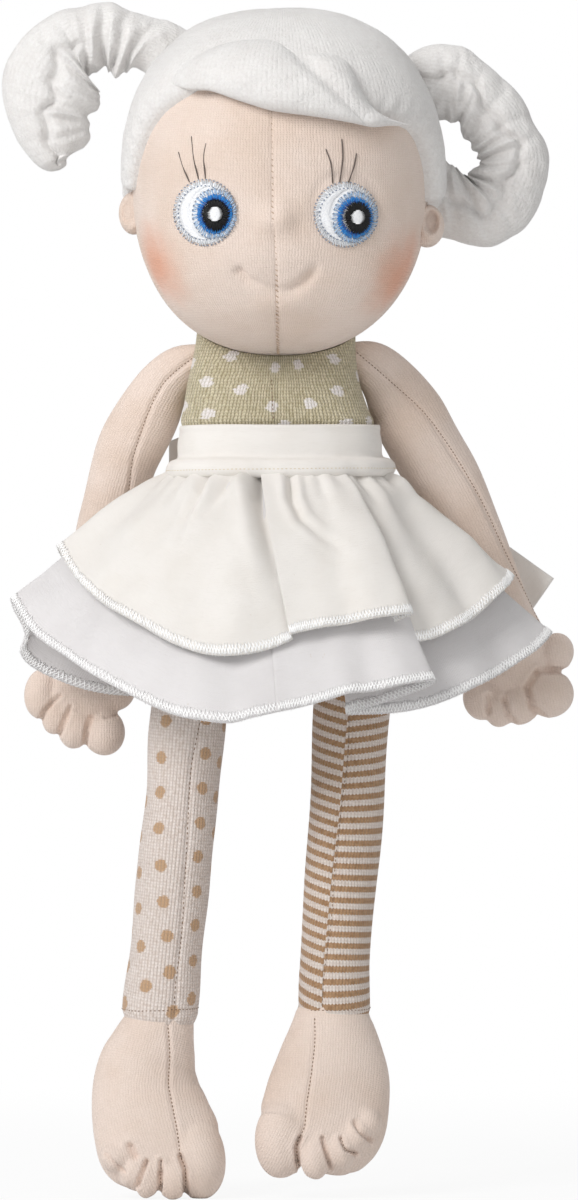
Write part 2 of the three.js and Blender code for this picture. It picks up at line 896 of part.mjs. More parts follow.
function armParts(label, side, spread, bow) {
  const joint = new THREE.Vector3(side * shoulderJoint.x, shoulderJoint.y, shoulderJoint.z);
  const towards = (solid) => turned(moved(solid, -joint.x, -joint.y, -joint.z), side * spread);
  const around = towards(torsoLoft(gap).add(torsoLoft(2 * gap + bandWall)
    .intersect(solidOf(new THREE.BoxGeometry(4 * hipHalfWidth, 4 * hipHalfWidth, 2 * bandRise + 2 * gap)))));
  const mouth = rod(new THREE.Vector3(), new THREE.Vector3(-side, 0, 0.3), shoulderBallRadius + 3, 2.6, 8);
  let outside = armForm(side, bow, 0, limbSides);
  for (const finger of fingers(side)) outside = outside.add(finger);
  outside = outside.subtract(around).add(jointBall(shoulderBallRadius));
  const hollow = armForm(side, bow, -coverWall, hollowSides).subtract(around);
  const stuffing = armForm(side, bow, -coverWall - gap, hollowSides).subtract(around);
  const group = new THREE.Group();
  group.position.copy(joint);
  group.rotation.y = -side * spread * degrees;
  group.add(piece(`arm_${label}`, outside.subtract(hollow).subtract(mouth), jersey, 0.9));
  group.add(piece(`arm_${label}_filling`, stuffing, fibre, 1));
  return group;
}

// Legs and feet

function legForm(extra, endShift) {
  const stations = [
    [0, 0, 0, thighRadius, thighRadius],
    [0, 0, -legLength * 0.35, (thighRadius + calfRadius) / 2, (thighRadius + calfRadius) / 2],
    [0, 0, -legLength * 0.7, calfRadius, calfRadius],
    [0, 0, -legLength, ankleRadius, ankleRadius],
  ];
  const radius = thighRadius + extra;
  return limb(stations, { extra, section: roundSection(limbSides), steps: 5, startShift: 0, endShift })
    .add(ellipsoid(radius, radius, radius, limbSides, 8));
}

function footStations() {
  return [
    [0, 0, 0, ankleRadius - coverWall - 2 * gap, ankleRadius - coverWall - 2 * gap],
    [0, 0, -5, ankleRadius - coverWall - gap, ankleRadius - coverWall - 2 * gap],
    [-1.5, 1, -14, heelHalfWidth * 0.93, heelHalfDepth],
    [-3, -2, -25, heelHalfWidth + 1, heelHalfDepth],
    [-0.5, -footLead * 0.45, -37, ballHalfWidth, ballHalfDepth + 1.5],
    [2, -footLead * 0.85, -47, ballHalfWidth * 0.86, ballHalfDepth * 0.75],
    [2.5, -footLead, -footDrop, ballHalfWidth * 0.68, ballHalfDepth * 0.5],
  ];
}

function footForm(side, extra, sides) {
  const ball = ankleRadius - coverWall - gap + extra;
  const stations = footStations().map(([x, y, z, wide, deep]) => [-side * x, y, z, wide, deep]);
  return limb(stations, { extra, section: roundSection(sides), steps: 8, startShift: 0 })
    .add(ellipsoid(ball, ball, ball, sides, ballUp));
}

function toes(side) {
  const places = [
    [12.5, -46.5, bigToeRadius],
    [4, -50.5, toeRadius],
    [-3, -49.5, toeRadius],
    [-9, -46.5, toeRadius],
    [-14, -42, toeRadius * 0.9],
  ];
  return places.map(([x, z, radius]) => ellipsoid(radius, radius, radius * 1.15, lobeAround, lobeUp)
    .translate([-side * x, -footLead * 0.95 + (z + 50) * 0.25, z]));
}

function footParts(label, side, turn) {
  let outside = footForm(side, 0, limbSides);
  for (const toe of toes(side)) outside = outside.add(toe);
  const hollow = footForm(side, -coverWall, hollowSides);
  const stuffing = footForm(side, -coverWall - gap, hollowSides);
  const mouth = rod(new THREE.Vector3(), new THREE.Vector3(0, 0, 1), ankleRadius, 3.5, 8);
  const group = new THREE.Group();
  group.position.z = -legLength;
  group.rotation.y = turn * degrees;
  group.add(piece(`foot_${label}`, outside.subtract(hollow).subtract(mouth), jersey, 0.9));
  group.add(piece(`foot_${label}_filling`, stuffing, fibre, 1));
  return group;
}

function legParts(label, side, splay, turn, colour) {
  const ankle = ellipsoid(1, 1, 1, limbSides, 8)
    .scale(ankleRadius - coverWall + gap).translate([0, 0, -legLength]);
  const mouth = rod(new THREE.Vector3(), new THREE.Vector3(0, 0, 1), thighRadius + 2, 4, 8);
  const cover = legForm(0, 0)
    .subtract(legForm(-coverWall, 1))
    .subtract(mouth);
  const filling = legForm(-coverWall - gap, 0).subtract(ankle);
  const group = new THREE.Group();
  group.position.set(side * hipJoint.x, hipJoint.y, hipJoint.z);
  group.rotation.y = splay * degrees;
  group.add(piece(`leg_${label}`, cover, colour, 0.95));
  group.add(piece(`leg_${label}_filling`, filling, fibre, 1));
  group.add(footParts(label, side, turn));
  return group;
}

const doll = new THREE.Group();
doll.add(
  ...torsoParts(),
  waistband(),
  ...skirtParts(),
  ...bowParts(),
  neck(),
  ...headParts(),
  fringe(),
  ...eye('right', -1),
  ...eye('left', 1),
  ...lashes('right', -1),
  ...lashes('left', 1),
  pigtail('pigtail_right', -1, rightRootAngle, rightPigtail),
  pigtail('pigtail_left', 1, leftRootAngle, leftPigtail),
  armParts('right', -1, rightArmSpread, rightArmBow),
  armParts('left', 1, leftArmSpread, leftArmBow),
  legParts('right', -1, rightLegSplay, rightFootTurn, dottedKnit),
  legParts('left', 1, leftLegSplay, leftFootTurn, stripedKnit),
);

export default doll;
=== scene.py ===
import math

import bmesh
import bpy
import numpy as np
from mathutils import Matrix, Vector


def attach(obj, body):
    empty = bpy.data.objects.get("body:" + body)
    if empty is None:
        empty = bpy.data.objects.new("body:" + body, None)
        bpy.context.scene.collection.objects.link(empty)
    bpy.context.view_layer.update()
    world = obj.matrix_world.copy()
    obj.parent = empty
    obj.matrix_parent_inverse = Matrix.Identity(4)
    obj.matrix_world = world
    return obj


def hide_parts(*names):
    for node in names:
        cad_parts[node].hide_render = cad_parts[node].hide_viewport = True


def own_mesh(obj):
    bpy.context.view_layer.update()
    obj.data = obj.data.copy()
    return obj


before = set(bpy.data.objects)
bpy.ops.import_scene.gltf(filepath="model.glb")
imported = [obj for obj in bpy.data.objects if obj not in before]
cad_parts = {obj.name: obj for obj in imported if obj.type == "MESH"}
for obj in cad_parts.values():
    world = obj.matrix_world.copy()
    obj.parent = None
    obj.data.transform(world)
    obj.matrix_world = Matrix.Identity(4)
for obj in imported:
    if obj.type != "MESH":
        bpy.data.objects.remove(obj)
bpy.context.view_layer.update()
mm = 0.001
turn = 2 * math.pi
print("frame loaded:", len(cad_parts), "nodes")


# Helpers: points are worked out in millimetres and stored in metres.

def srgb(red, green, blue):
    values = []
    for value in (red, green, blue):
        value /= 255
        values.append(value / 12.92 if value < 0.04045 else ((value + 0.055) / 1.055) ** 2.4)
    return (*values, 1)


def smoothStep(low, high, value):
    share = np.clip((value - low) / (high - low), 0, 1)
    return share * share * (3 - 2 * share)


def bump(distance, width):
    return np.exp(-(distance / width) ** 2)


# Soft mounds and hollows: rows of height, x, z, reach, and a stretch in x and in z.
def mounds(x, z, rows):
    total = 0
    for height, atX, atZ, reach, wide, tall in rows:
        total = total + height * bump(np.hypot((x - atX) / wide, (z - atZ) / tall), reach)
    return total


def unit(rows):
    return rows / np.linalg.norm(rows, axis=1)[:, None]


# Directions from the middle of a ball: turns round it, and shares from its foot to its top.
def ballDirections(angle, v):
    rise = (v - 0.5) * math.pi
    return np.stack([np.sin(angle) * np.cos(rise), np.cos(angle) * np.cos(rise), np.sin(rise)], axis=1)


def levelDirections(angle):
    return np.stack([np.cos(angle), np.sin(angle), angle * 0], axis=1)


# How far a square with round corners stands out at each turn, beside a circle of 1.
def squareReach(angle, power):
    return (np.abs(np.cos(angle)) ** power + np.abs(np.sin(angle)) ** power) ** (-1 / power)


# A smooth line through rows of numbers, read at shares from 0 to 1.
def smoothLine(rows, shares, closed=False):
    rows = np.array(rows, float)
    if closed:
        rows = np.vstack([rows, rows[:1]])
    steps = np.maximum(np.linalg.norm(np.diff(rows[:, :3], axis=0), axis=1), 1e-6) ** 0.5
    knots = np.concatenate([[0], np.cumsum(steps)])
    knots /= knots[-1]
    slopes = np.zeros_like(rows)
    inner = (rows[1:] - rows[:-1]) / np.diff(knots)[:, None]
    slopes[1:-1] = (inner[1:] + inner[:-1]) / 2
    slopes[0], slopes[-1] = inner[0], inner[-1]
    if closed:
        slopes[0] = slopes[-1] = (inner[0] + inner[-1]) / 2
    shares = np.asarray(shares, float)
    at = np.clip(np.searchsorted(knots, shares, side="right") - 1, 0, len(knots) - 2)
    span = knots[at + 1] - knots[at]
    t = ((shares - knots[at]) / span)[:, None]
    span = span[:, None]
    return ((2 * t ** 3 - 3 * t ** 2 + 1) * rows[at] + (t ** 3 - 2 * t ** 2 + t) * span * slopes[at]
            + (-2 * t ** 3 + 3 * t ** 2) * rows[at + 1] + (t ** 3 - t ** 2) * span * slopes[at + 1])


# The same for a path of (x, z).
def smoothPath(path, shares):
    return smoothLine([(x, 0, z) for x, z in path], shares)[:, [0, 2]]


# Gentle, repeatable unevenness between about -1 and 1.
def unevenness(points, size, seed):
    random = np.random.default_rng(seed)
    total = np.zeros(len(points))
    for _ in range(7):
        direction = random.normal(size=3)
        direction /= np.linalg.norm(direction)
        length = size * random.uniform(0.6, 1.6)
        total += np.sin(points @ direction * turn / length + random.uniform(0, turn))
    return total / 3.5


# How far each (x, z) lies from a path, and how far along the path its nearest place is.
def pathDistance(x, z, path):
    best = np.full(np.shape(x), 1e9)
    share = np.zeros(np.shape(x))
    lengths = [math.dist(a, b) for a, b in zip(path, path[1:])]
    walked = 0
    for (ax, az), (bx, bz), length in zip(path, path[1:], lengths):
        t = np.clip(((x - ax) * (bx - ax) + (z - az) * (bz - az)) / length ** 2, 0, 1)
        gap = np.hypot(x - ax - t * (bx - ax), z - az - t * (bz - az))
        closer = gap < best
        best = np.where(closer, gap, best)
        share = np.where(closer, (walked + t * length) / sum(lengths), share)
        walked += length
    return best, share


def readPoints(mesh):
    points = np.empty(len(mesh.vertices) * 3)
    mesh.vertices.foreach_get("co", points)
    return points.reshape(-1, 3) / mm


def writePoints(mesh, points):
    mesh.vertices.foreach_set("co", (points * mm).astype(np.float32).ravel())
    mesh.update()


def makePiece(name, bm, material):
    mesh = bpy.data.meshes.new(name)
    bm.to_mesh(mesh)
    bm.free()
    piece = bpy.data.objects.new(name, mesh)
    bpy.context.scene.collection.objects.link(piece)
    mesh.polygons.foreach_set("use_smooth", [True] * len(mesh.polygons))
    mesh.materials.append(material)
    return piece


# Hides the frame's nodes that a piece stands for and hangs the piece on its body.
def dress(piece, body, slot, *nodes, fill=None):
    if nodes:
        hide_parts(*nodes)
    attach(piece, body)


def addModifier(piece, kind, **settings):
    modifier = piece.modifiers.new(kind.lower(), kind)
    for key, value in settings.items():
        setattr(modifier, key, value)
    return modifier


def applyModifiers(piece):
    bpy.context.view_layer.update()
    graph = bpy.context.evaluated_depsgraph_get()
    mesh = bpy.data.meshes.new_from_object(piece.evaluated_get(graph))
    piece.modifiers.clear()
    piece.data = mesh
    mesh.polygons.foreach_set("use_smooth", [True] * len(mesh.polygons))


# A grid laid out by a function of two shares from 0 to 1, with its UV map in metres.
def surface(name, across, along, place, material, uvSize=(1, 1), closed=False, outwards=None):
    bm = bmesh.new()
    bmesh.ops.create_grid(bm, x_segments=across, y_segments=along, size=1)
    bm.verts.index_update()
    shares = np.array([(v.co.x, v.co.y) for v in bm.verts]) / 2 + 0.5
    layer = bm.loops.layers.uv.new("weave")
    for face in bm.faces:
        for loop in face.loops:
            u, v = shares[loop.vert.index]
            loop[layer].uv = (u * uvSize[0], v * uvSize[1])
    points = place(shares[:, 0], shares[:, 1]) * mm
    for vert, point in zip(bm.verts, points):
        vert.co = point
    if closed:
        bmesh.ops.remove_doubles(bm, verts=bm.verts, dist=1e-7)
        bmesh.ops.dissolve_degenerate(bm, dist=1e-8, edges=bm.edges)
        bmesh.ops.recalc_face_normals(bm, faces=bm.faces)
    if outwards is not None:
        bm.normal_update()
        centre = Vector(outwards) * mm
        facing = sum((face.calc_center_median() - centre).dot(face.normal) * face.calc_area()
                     for face in bm.faces)
        if facing < 0:
            bmesh.ops.reverse_faces(bm, faces=bm.faces)
    return makePiece(name, bm, material)


# Shares of a line's length turned into the shares that smoothLine reads.
def evenShares(rows, shares):
    steps = np.linspace(0, 1, 500)
    points = smoothLine(rows, steps)[:, :3]
    walked = np.concatenate([[0], np.cumsum(np.linalg.norm(np.diff(points, axis=0), axis=1))])
    return np.interp(shares, walked / walked[-1], steps)


# A tube round a line of (x, y, z, half-width, half-depth), with round ends over the share of caps.
def tubePlace(stations, swell=None, upward=(0, 1, 0), caps=0.04):
    def place(u, v):
        inner = evenShares(stations, np.clip((v - caps) / (1 - 2 * caps), 0, 1))
        line = smoothLine(stations, inner)
        ahead = smoothLine(stations, np.clip(inner + 0.01, 0, 1))[:, :3]
        behind = smoothLine(stations, np.clip(inner - 0.01, 0, 1))[:, :3]
        along = unit(ahead - behind)
        across = unit(np.cross(upward, along))
        deep = np.cross(along, across)
        angle = u * turn
        end = np.clip(np.minimum(v, 1 - v) / caps, 0, 1)
        shrink = np.sqrt(1 - (1 - end) ** 2)
        push = (1 - end) * np.where(v < 0.5, -1, 1)
        points = line[:, :3] + along * (push * np.minimum(line[:, 3], line[:, 4]) * 0.55)[:, None]
        points = points + across * (line[:, 3] * shrink * np.cos(angle))[:, None]
        points = points + deep * (line[:, 4] * shrink * np.sin(angle))[:, None]
        if swell is not None:
            away = across * np.cos(angle)[:, None] + deep * np.sin(angle)[:, None]
            points = points + away * (swell(u, v, points) * shrink)[:, None]
        return points

    return place


def lineLength(stations):
    points = smoothLine(stations, np.linspace(0, 1, 60))[:, :3]
    return float(np.linalg.norm(np.diff(points, axis=0), axis=1).sum())


# Short stitches of thread: each is a stretched ball from one point to another.
def stitches(name, pairs, radius, material):
    bm = bmesh.new()
    for start, end in pairs:
        start, end = Vector(start) * mm, Vector(end) * mm
        span = end - start
        turned = span.to_track_quat("Z", "Y").to_matrix().to_4x4()
        size = Matrix.Diagonal((radius * mm, radius * mm, span.length / 2 + radius * mm * 0.6, 1))
        place = Matrix.Translation((start + end) / 2) @ turned @ size
        bmesh.ops.create_icosphere(bm, subdivisions=1, radius=1, matrix=place)
    return makePiece(name, bm, material)


def stitchPairs(points, pitch, share=0.65):
    points = np.array(points, float)
    steps = np.linalg.norm(np.diff(points, axis=0), axis=1)
    knots = np.concatenate([[0], np.cumsum(steps)])
    starts = np.arange(0, knots[-1] - pitch * share, pitch)
    read = lambda at: np.array([np.interp(at, knots, points[:, axis]) for axis in range(3)]).T
    return list(zip(read(starts), read(starts + pitch * share)))


# Points moved onto the nearest places of a piece, and lifted off it.
def lay(points, target, lift):
    graph = bpy.context.evaluated_depsgraph_get()
    evaluated = target.evaluated_get(graph)
    laid = []
    for point in points:
        found, place, normal, _ = evaluated.closest_point_on_mesh(Vector(point) * mm)
        laid.append(np.array(place + normal * lift * mm) / mm if found else point)
    return np.array(laid)


# UVs in metres from what runs across and along a form; across starts again after each period.
def writeUv(piece, across, along, period):
    mesh = piece.data
    layer = mesh.uv_layers[0] if mesh.uv_layers else mesh.uv_layers.new(name="weave")
    values = np.empty((len(mesh.loops), 2))
    for polygon in mesh.polygons:
        around = across[list(polygon.vertices)]
        around = around + period * np.round((around[0] - around) / period)
        values[list(polygon.loop_indices), 0] = around * mm
        values[list(polygon.loop_indices), 1] = along[list(polygon.vertices)] * mm
    layer.data.foreach_set("uv", values.ravel())


def wrapRound(piece, radius, centre=(0, 0)):
    points = readPoints(piece.data)
    angle = np.arctan2(points[:, 0] - centre[0], centre[1] - points[:, 1])
    writeUv(piece, angle * radius, points[:, 2], turn * radius)


def wrapAlong(piece, line):
    points = readPoints(piece.data)
    spine = smoothLine(line, evenShares(line, np.linspace(0, 1, 90)))[:, :3]
    ahead = unit(np.gradient(spine, axis=0))
    beside = unit(np.cross(ahead, (0, 1, 0)))
    near = ((points[:, None] - spine[None]) ** 2).sum(2).argmin(1)
    offset = points - spine[near]
    along = np.linspace(0, lineLength(line), 90)[near] + (offset * ahead[near]).sum(1)
    writeUv(piece, (offset * beside[near]).sum(1), along, 1e9)


# A value in a material: arithmetic with it adds Math nodes.
class Value:
    def __init__(self, socket):
        self.socket = socket
        self.tree = socket.id_data

    def __add__(self, other):
        return maths("ADD", self, other)

    def __sub__(self, other):
        return maths("SUBTRACT", self, other)

    def __rsub__(self, other):
        return maths("SUBTRACT", other, self)

    def __mul__(self, other):
        return maths("MULTIPLY", self, other)

    def __truediv__(self, other):
        return maths("DIVIDE", self, other)

    def __pow__(self, other):
        return maths("POWER", self, other)


def addNode(tree, kind, inputs, **settings):
    node = tree.nodes.new(kind)
    for key, value in settings.items():
        setattr(node, key, value)
    for key, value in inputs.items():
        if isinstance(value, Value):
            tree.links.new(value.socket, node.inputs[key])
        else:
            node.inputs[key].default_value = value
    return node


def maths(operation, *values, clamp=False):
    tree = next(value.tree for value in values if isinstance(value, Value))
    inputs = dict(enumerate(values))
    return Value(addNode(tree, "ShaderNodeMath", inputs, operation=operation, use_clamp=clamp).outputs[0])


def ramp(value, low, high):
    node = addNode(value.tree, "ShaderNodeMapRange", {0: value, 1: low, 2: high, 3: 0.0, 4: 1.0},
                   interpolation_type="SMOOTHSTEP")
    return Value(node.outputs[0])


def blendColour(share, first, second):
    node = addNode(share.tree, "ShaderNodeMix", {0: share, 6: first, 7: second}, data_type="RGBA")
    return Value(node.outputs[2])


# A tone laid over a colour as a value goes from low to high.
def tint(colour, value, low, high, strength, tone):
    return blendColour(ramp(value, low, high) * strength, colour, tone)


def noise(place, scale, detail=3.0, roughness=0.55):
    node = addNode(place.tree, "ShaderNodeTexNoise",
                   {"Vector": place, "Scale": scale, "Detail": detail, "Roughness": roughness})
    return Value(node.outputs[0])


def startMaterial(name, roughness, sheen, sheenRoughness=0.5):
    material = bpy.data.materials.new(name)
    material.use_nodes = True
    tree = material.node_tree
    finish = {"Roughness": roughness, "Sheen Weight": sheen, "Sheen Roughness": sheenRoughness,
              "Specular IOR Level": 0.25}
    for key, value in finish.items():
        tree.nodes["Principled BSDF"].inputs[key].default_value = value
    coordinates = tree.nodes.new("ShaderNodeTexCoord")
    return material, Value(coordinates.outputs["Object"]), Value(coordinates.outputs["UV"])


def finishMaterial(material, colour, height, distance, strength=1.0):
    tree = material.node_tree
    shader = tree.nodes["Principled BSDF"]
    relief = addNode(tree, "ShaderNodeBump", {"Height": height, "Distance": distance, "Strength": strength})
    tree.links.new(colour.socket, shader.inputs["Base Color"])
    tree.links.new(relief.outputs[0], shader.inputs["Normal"])
    return material


def uvParts(uv):
    parts = addNode(uv.tree, "ShaderNodeSeparateXYZ", {0: uv})
    return Value(parts.outputs[0]), Value(parts.outputs[1])


# The height of knitted loops, each a wale wide and a course high, from UVs in metres.
def knitHeight(u, v, look, lean):
    columns = u / look["wale"]
    side = maths("ABSOLUTE", maths("SINE", columns * math.pi))
    slant = maths("ABSOLUTE", maths("FRACT", columns) - 0.5)
    rows = slant * lean + v / look["course"]
    loops = maths("ABSOLUTE", maths("SINE", rows * math.pi))
    return side ** 0.6 * (loops * 0.55 + 0.45)


jerseyLook = {"colour": srgb(238, 221, 210), "shade": srgb(229, 209, 195), "speck": srgb(200, 176, 156),
              "hollow": srgb(190, 164, 145), "wale": 0.00085, "course": 0.0007, "wander": 0.0011,
              "blush": srgb(222, 150, 114), "blushStrength": 0.78,
              "cheeks": [((-38, -32, 53.5), 18.5), ((37.5, -32, 50), 21)]}


def makeJersey(name, cheeks):
    look = jerseyLook
    material, place, uv = startMaterial(name, 0.85, 0.25)
    u, v = uvParts(uv)
    knit = knitHeight(noise(place, 420, 2) * look["wander"] + u, v, look, 0.4)
    colour = blendColour(ramp(noise(place, 45), 0.35, 0.75), look["colour"], look["shade"])
    colour = tint(colour, noise(place, 2200, 2), 0.3, 0.8, 0.2, look["speck"])
    # Painted shade: the hollows between the knit's loops are darkened.
    colour = blendColour((1 - knit) * 0.14, colour, look["hollow"])
    for centre, reach in cheeks:
        away = addNode(place.tree, "ShaderNodeVectorMath", {0: place, 1: [c * mm for c in centre]},
                       operation="DISTANCE")
        uneven = noise(place, 160, 2) * (reach * 0.35 * mm) + Value(away.outputs["Value"])
        colour = tint(colour, uneven, reach * mm * 1.15, reach * mm * 0.2, look["blushStrength"],
                      look["blush"])
    return finishMaterial(material, colour, noise(place, 900) * 0.5 + knit, 0.00016, 0.9)


velourLook = {"colour": srgb(241, 239, 237), "shade": srgb(226, 221, 218), "nap": srgb(208, 201, 197),
              "hollow": srgb(206, 199, 195), "wale": 0.0013, "course": 0.002}


def makeVelour(name):
    look = velourLook
    material, place, uv = startMaterial(name, 0.9, 0.55, 0.35)
    knit = knitHeight(*uvParts(uv), look, 0.2)
    nap = noise(place, 1300, 4, 0.7)
    colour = tint(look["colour"], noise(place, 110, 4, 0.6), 0.4, 0.75, 0.35, look["shade"])
    colour = tint(colour, nap, 0.4, 0.66, 0.2, look["nap"])
    # Painted shade: the hollows between the knit's loops are darkened.
    colour = blendColour((1 - knit) * 0.1, colour, look["hollow"])
    height = noise(place, 420, 3, 0.6) + nap + knit * 0.3
    return finishMaterial(material, colour, height, 0.00055, 0.85)


cottonLook = {"thread": 0.00048, "slub": (260, 2600, 1), "fleck": srgb(196, 178, 150),
              "slubTone": srgb(214, 208, 198)}


def makeCotton(name, colour, shade):
    look = cottonLook
    material, place, uv = startMaterial(name, 0.82, 0.2)
    warp, weft = [maths("SINE", part * (turn / look["thread"])) for part in uvParts(uv)]
    stretched = addNode(uv.tree, "ShaderNodeMapping", {"Vector": uv, "Scale": look["slub"]})
    slubs = noise(Value(stretched.outputs[0]), 1)
    cloth = tint(srgb(*colour), noise(place, 70, 4), 0.35, 0.8, 0.45, srgb(*shade))
    cloth = tint(cloth, noise(place, 520, 2), 0.73, 0.8, 0.25, look["fleck"])
    cloth = tint(cloth, slubs, 0.5, 0.8, 0.15, look["slubTone"])
    return finishMaterial(material, cloth, warp * weft * 0.35 + slubs, 0.00012, 0.9)


def makeThread(name, colour, roughness, shade):
    material, place, _ = startMaterial(name, roughness, 0.3 if sum(colour) > 120 else 0)
    strands = noise(place, 2600, 2)
    twist = blendColour(ramp(strands, 0.35, 0.7), srgb(*colour), srgb(*shade))
    return finishMaterial(material, twist, strands, 0.0001, 0.6)


# White floor and backdrop, soft lamps and the camera

stageLook = {"floorDrop": 0.2235, "floorSize": 6.0, "paper": (0.86, 0.86, 0.86, 1), "cameraAway": 2.4,
             "seenHeight": 0.360, "aimX": 0.0027, "aimZ": -0.045, "sensor": 36.0, "glow": 0.44,
             "lampAim": (0, 0, -0.03)}
lamps = {"key": ((-0.95, -1.15, 0.8), 0.7, 17.0), "fill": ((1.1, -1.2, 0.1), 1.1, 2.3),
         "top": ((-0.1, 0.2, 1.2), 0.9, 2.4)}  # place, size and power of each


# 1 for what the camera sees straight or mirrored in something glossy.
def seenRays(tree):
    path = tree.nodes.new("ShaderNodeLightPath")
    camera, glossy = [Value(path.outputs[f"Is {kind} Ray"]) for kind in ("Camera", "Glossy")]
    return maths("ADD", camera, glossy, clamp=True)


def makeStage():
    bm = bmesh.new()
    bmesh.ops.create_grid(bm, x_segments=1, y_segments=1, size=stageLook["floorSize"] / 2,
                          matrix=Matrix.Translation((0, 0, -stageLook["floorDrop"])))
    material, place, _ = startMaterial("palePaper", 0.9, 0)
    tree = material.node_tree
    shader = tree.nodes["Principled BSDF"]
    shader.inputs["Base Color"].default_value = stageLook["paper"]
    light = addNode(tree, "ShaderNodeEmission", {"Color": (1, 1, 1, 1), "Strength": 1.0})
    away = addNode(tree, "ShaderNodeVectorMath", {0: place}, operation="LENGTH")
    fade = ramp(Value(away.outputs["Value"]), 0.25, 0.6) * 0.1 + 0.9
    mixed = addNode(tree, "ShaderNodeMixShader", {0: seenRays(tree) * fade, 1: Value(shader.outputs[0]),
                                                  2: Value(light.outputs[0])})
    tree.links.new(mixed.outputs[0], tree.nodes["Material Output"].inputs[0])
    makePiece("floor", bm, material)

    world = bpy.data.worlds.new("studio")
    bpy.context.scene.world = world
    world.use_nodes = True
    glow = world.node_tree.nodes["Background"]
    glow.inputs["Color"].default_value = (1, 1, 1, 1)
    strength = seenRays(world.node_tree) * (1 - stageLook["glow"]) + stageLook["glow"]
    world.node_tree.links.new(strength.socket, glow.inputs["Strength"])
    for name, (place, size, power) in lamps.items():
        data = bpy.data.lights.new(name, "AREA")
        data.size = size
        data.energy = power
        lamp = bpy.data.objects.new(name, data)
        bpy.context.scene.collection.objects.link(lamp)
        lamp.location = place
        aim = Vector(stageLook["lampAim"]) - Vector(place)
        lamp.rotation_euler = aim.to_track_quat("-Z", "Y").to_euler()


def makeCamera():
    data = bpy.data.cameras.new("camera")
    data.sensor_width = stageLook["sensor"]
    data.lens = stageLook["sensor"] / 2 / (stageLook["seenHeight"] / 2 / stageLook["cameraAway"])
    camera = bpy.data.objects.new("camera", data)
    bpy.context.scene.collection.objects.link(camera)
    camera.location = (stageLook["aimX"], -stageLook["cameraAway"], stageLook["aimZ"])
    camera.rotation_euler = (math.pi / 2, 0, 0)
    bpy.context.scene.camera = camera


bpy.context.scene.view_settings.view_transform = "Standard"
makeStage()
makeCamera()
print("stage and camera made")

jersey = makeJersey("jersey", [])
faceJersey = makeJersey("faceJersey", jerseyLook["cheeks"])
velour = makeVelour("velour")
cotton = makeCotton("cotton", (241, 237, 232), (231, 225, 217))
# The lower tier's cloth: the same cotton made greyer, as painted shade under the upper tier.
shadedCotton = makeCotton("shadedCotton", (230, 227, 227), (218, 214, 214))
threadLook = {  # colour, roughness and the shade between its strands
    "hemThread": ((255, 255, 255), 0.6, (250, 249, 248)),
    "seamThread": ((150, 122, 98), 0.7, (118, 94, 76)),
    "paleThread": ((192, 168, 144), 0.7, (168, 142, 118)),
    "bandThread": ((226, 214, 190), 0.6, (206, 190, 160)),
    "rimThread": ((200, 203, 208), 0.4, (228, 229, 231)),
    "dotThread": ((116, 130, 152), 0.5, (150, 160, 178)),
    "irisThread": ((26, 112, 190), 0.35, (48, 140, 206)),
    "deepThread": ((16, 66, 138), 0.35, (30, 84, 164)),
    "paleBlueThread": ((146, 184, 218), 0.4, (196, 208, 228)),
    "blackThread": ((7, 7, 9), 0.45, (18, 18, 22)),
    "whiteThread": ((252, 252, 253), 0.35, (236, 238, 242)),
    "lashThread": ((84, 72, 66), 0.6, (104, 92, 86))}
threads = {name: makeThread(name, *values) for name, values in threadLook.items()}


# The place at a depth that stands behind (x, z) of the picture plane, as the camera sees it.
def facing(x, z, depth):
    away = stageLook["cameraAway"] / mm
    share = (away + depth) / away
    aimX, aimZ = stageLook["aimX"] / mm, stageLook["aimZ"] / mm
    return aimX + (x - aimX) * share, aimZ + (z - aimZ) * share


# Head: mouthDepth is a depth for shares of the mouth's length, forms are rows of mounds.

headLook = {
    "centre": (0, -12, 78.2), "half": (43.8, 43, 50), "power": 2.25, "around": 290, "up": 220, "wrap": 40,
    "seam": [(-2.4, 103), (-2.1, 70.8), (-1.2, 57.6), (-0.6, 29)],
    "mouth": [(-11.6, 51.2), (-9.6, 49), (-5, 46.9), (0, 45.6), (3.6, 46.2), (7, 48.2), (10, 51.6),
        (10.9, 54)],
    "mouthDepth": ([0, 0.08, 0.3, 0.5, 0.62, 0.85, 1], [1.5, 1.6, 0.6, 0.65, 1.7, 1.9, 0.2]),
    "forms": [(2.5, 0.3, 67.2, 3.7, 1.1, 1.15), (1.0, -4.6, 66.6, 3.4, 1, 1.2), (0.9, 0.5, 56, 6, 2.0, 1),
        (1.1, 0.5, 42, 3.6, 2.4, 1), (1.2, -28, 50, 13, 1, 1), (1.2, 28, 50, 13, 1, 1),
        (-0.5, -12.4, 51.6, 2, 1, 1)]}
eyes = {
    "right": {
        "patch": (-22.4, 71.2, 9.0, 9.6), "iris": (-19.2, 70.9, 5.3, 6.0),
        "pupil": (-18.9, 70.6, 3.9, 4.8), "glint": (-18.9, 70.9, 2.15, 2.1),
        "lashes": [[(-30.4, 89.4), (-28.7, 84), (-27, 80.2)],
            [(-26.5, 94.1), (-25.7, 86.8), (-24.2, 80.6)], [(-22.1, 92.1), (-22.8, 87.8), (-22.3, 81.2)]]},
    "left": {
        "patch": (19.6, 70.6, 9.2, 9.4), "iris": (22.1, 69.8, 5.3, 6.2), "pupil": (22.7, 69.8, 3.9, 4.7),
        "glint": (22.6, 69.9, 2.05, 2.0),
        "lashes": [[(13.7, 90.3), (15.3, 85.7), (15.8, 79.9)], [(18.5, 93.3), (18.8, 87.8), (17.9, 80.2)],
            [(22.9, 89), (22.2, 85.2), (20.5, 80.2)]]}}


def ovalPoint(look, directions, extra=0):
    half = np.array(look["half"]) + extra
    reach = (np.abs(directions / half) ** look["power"]).sum(1) ** (-1 / look["power"])
    return np.array(look["centre"]) + directions * reach[:, None]


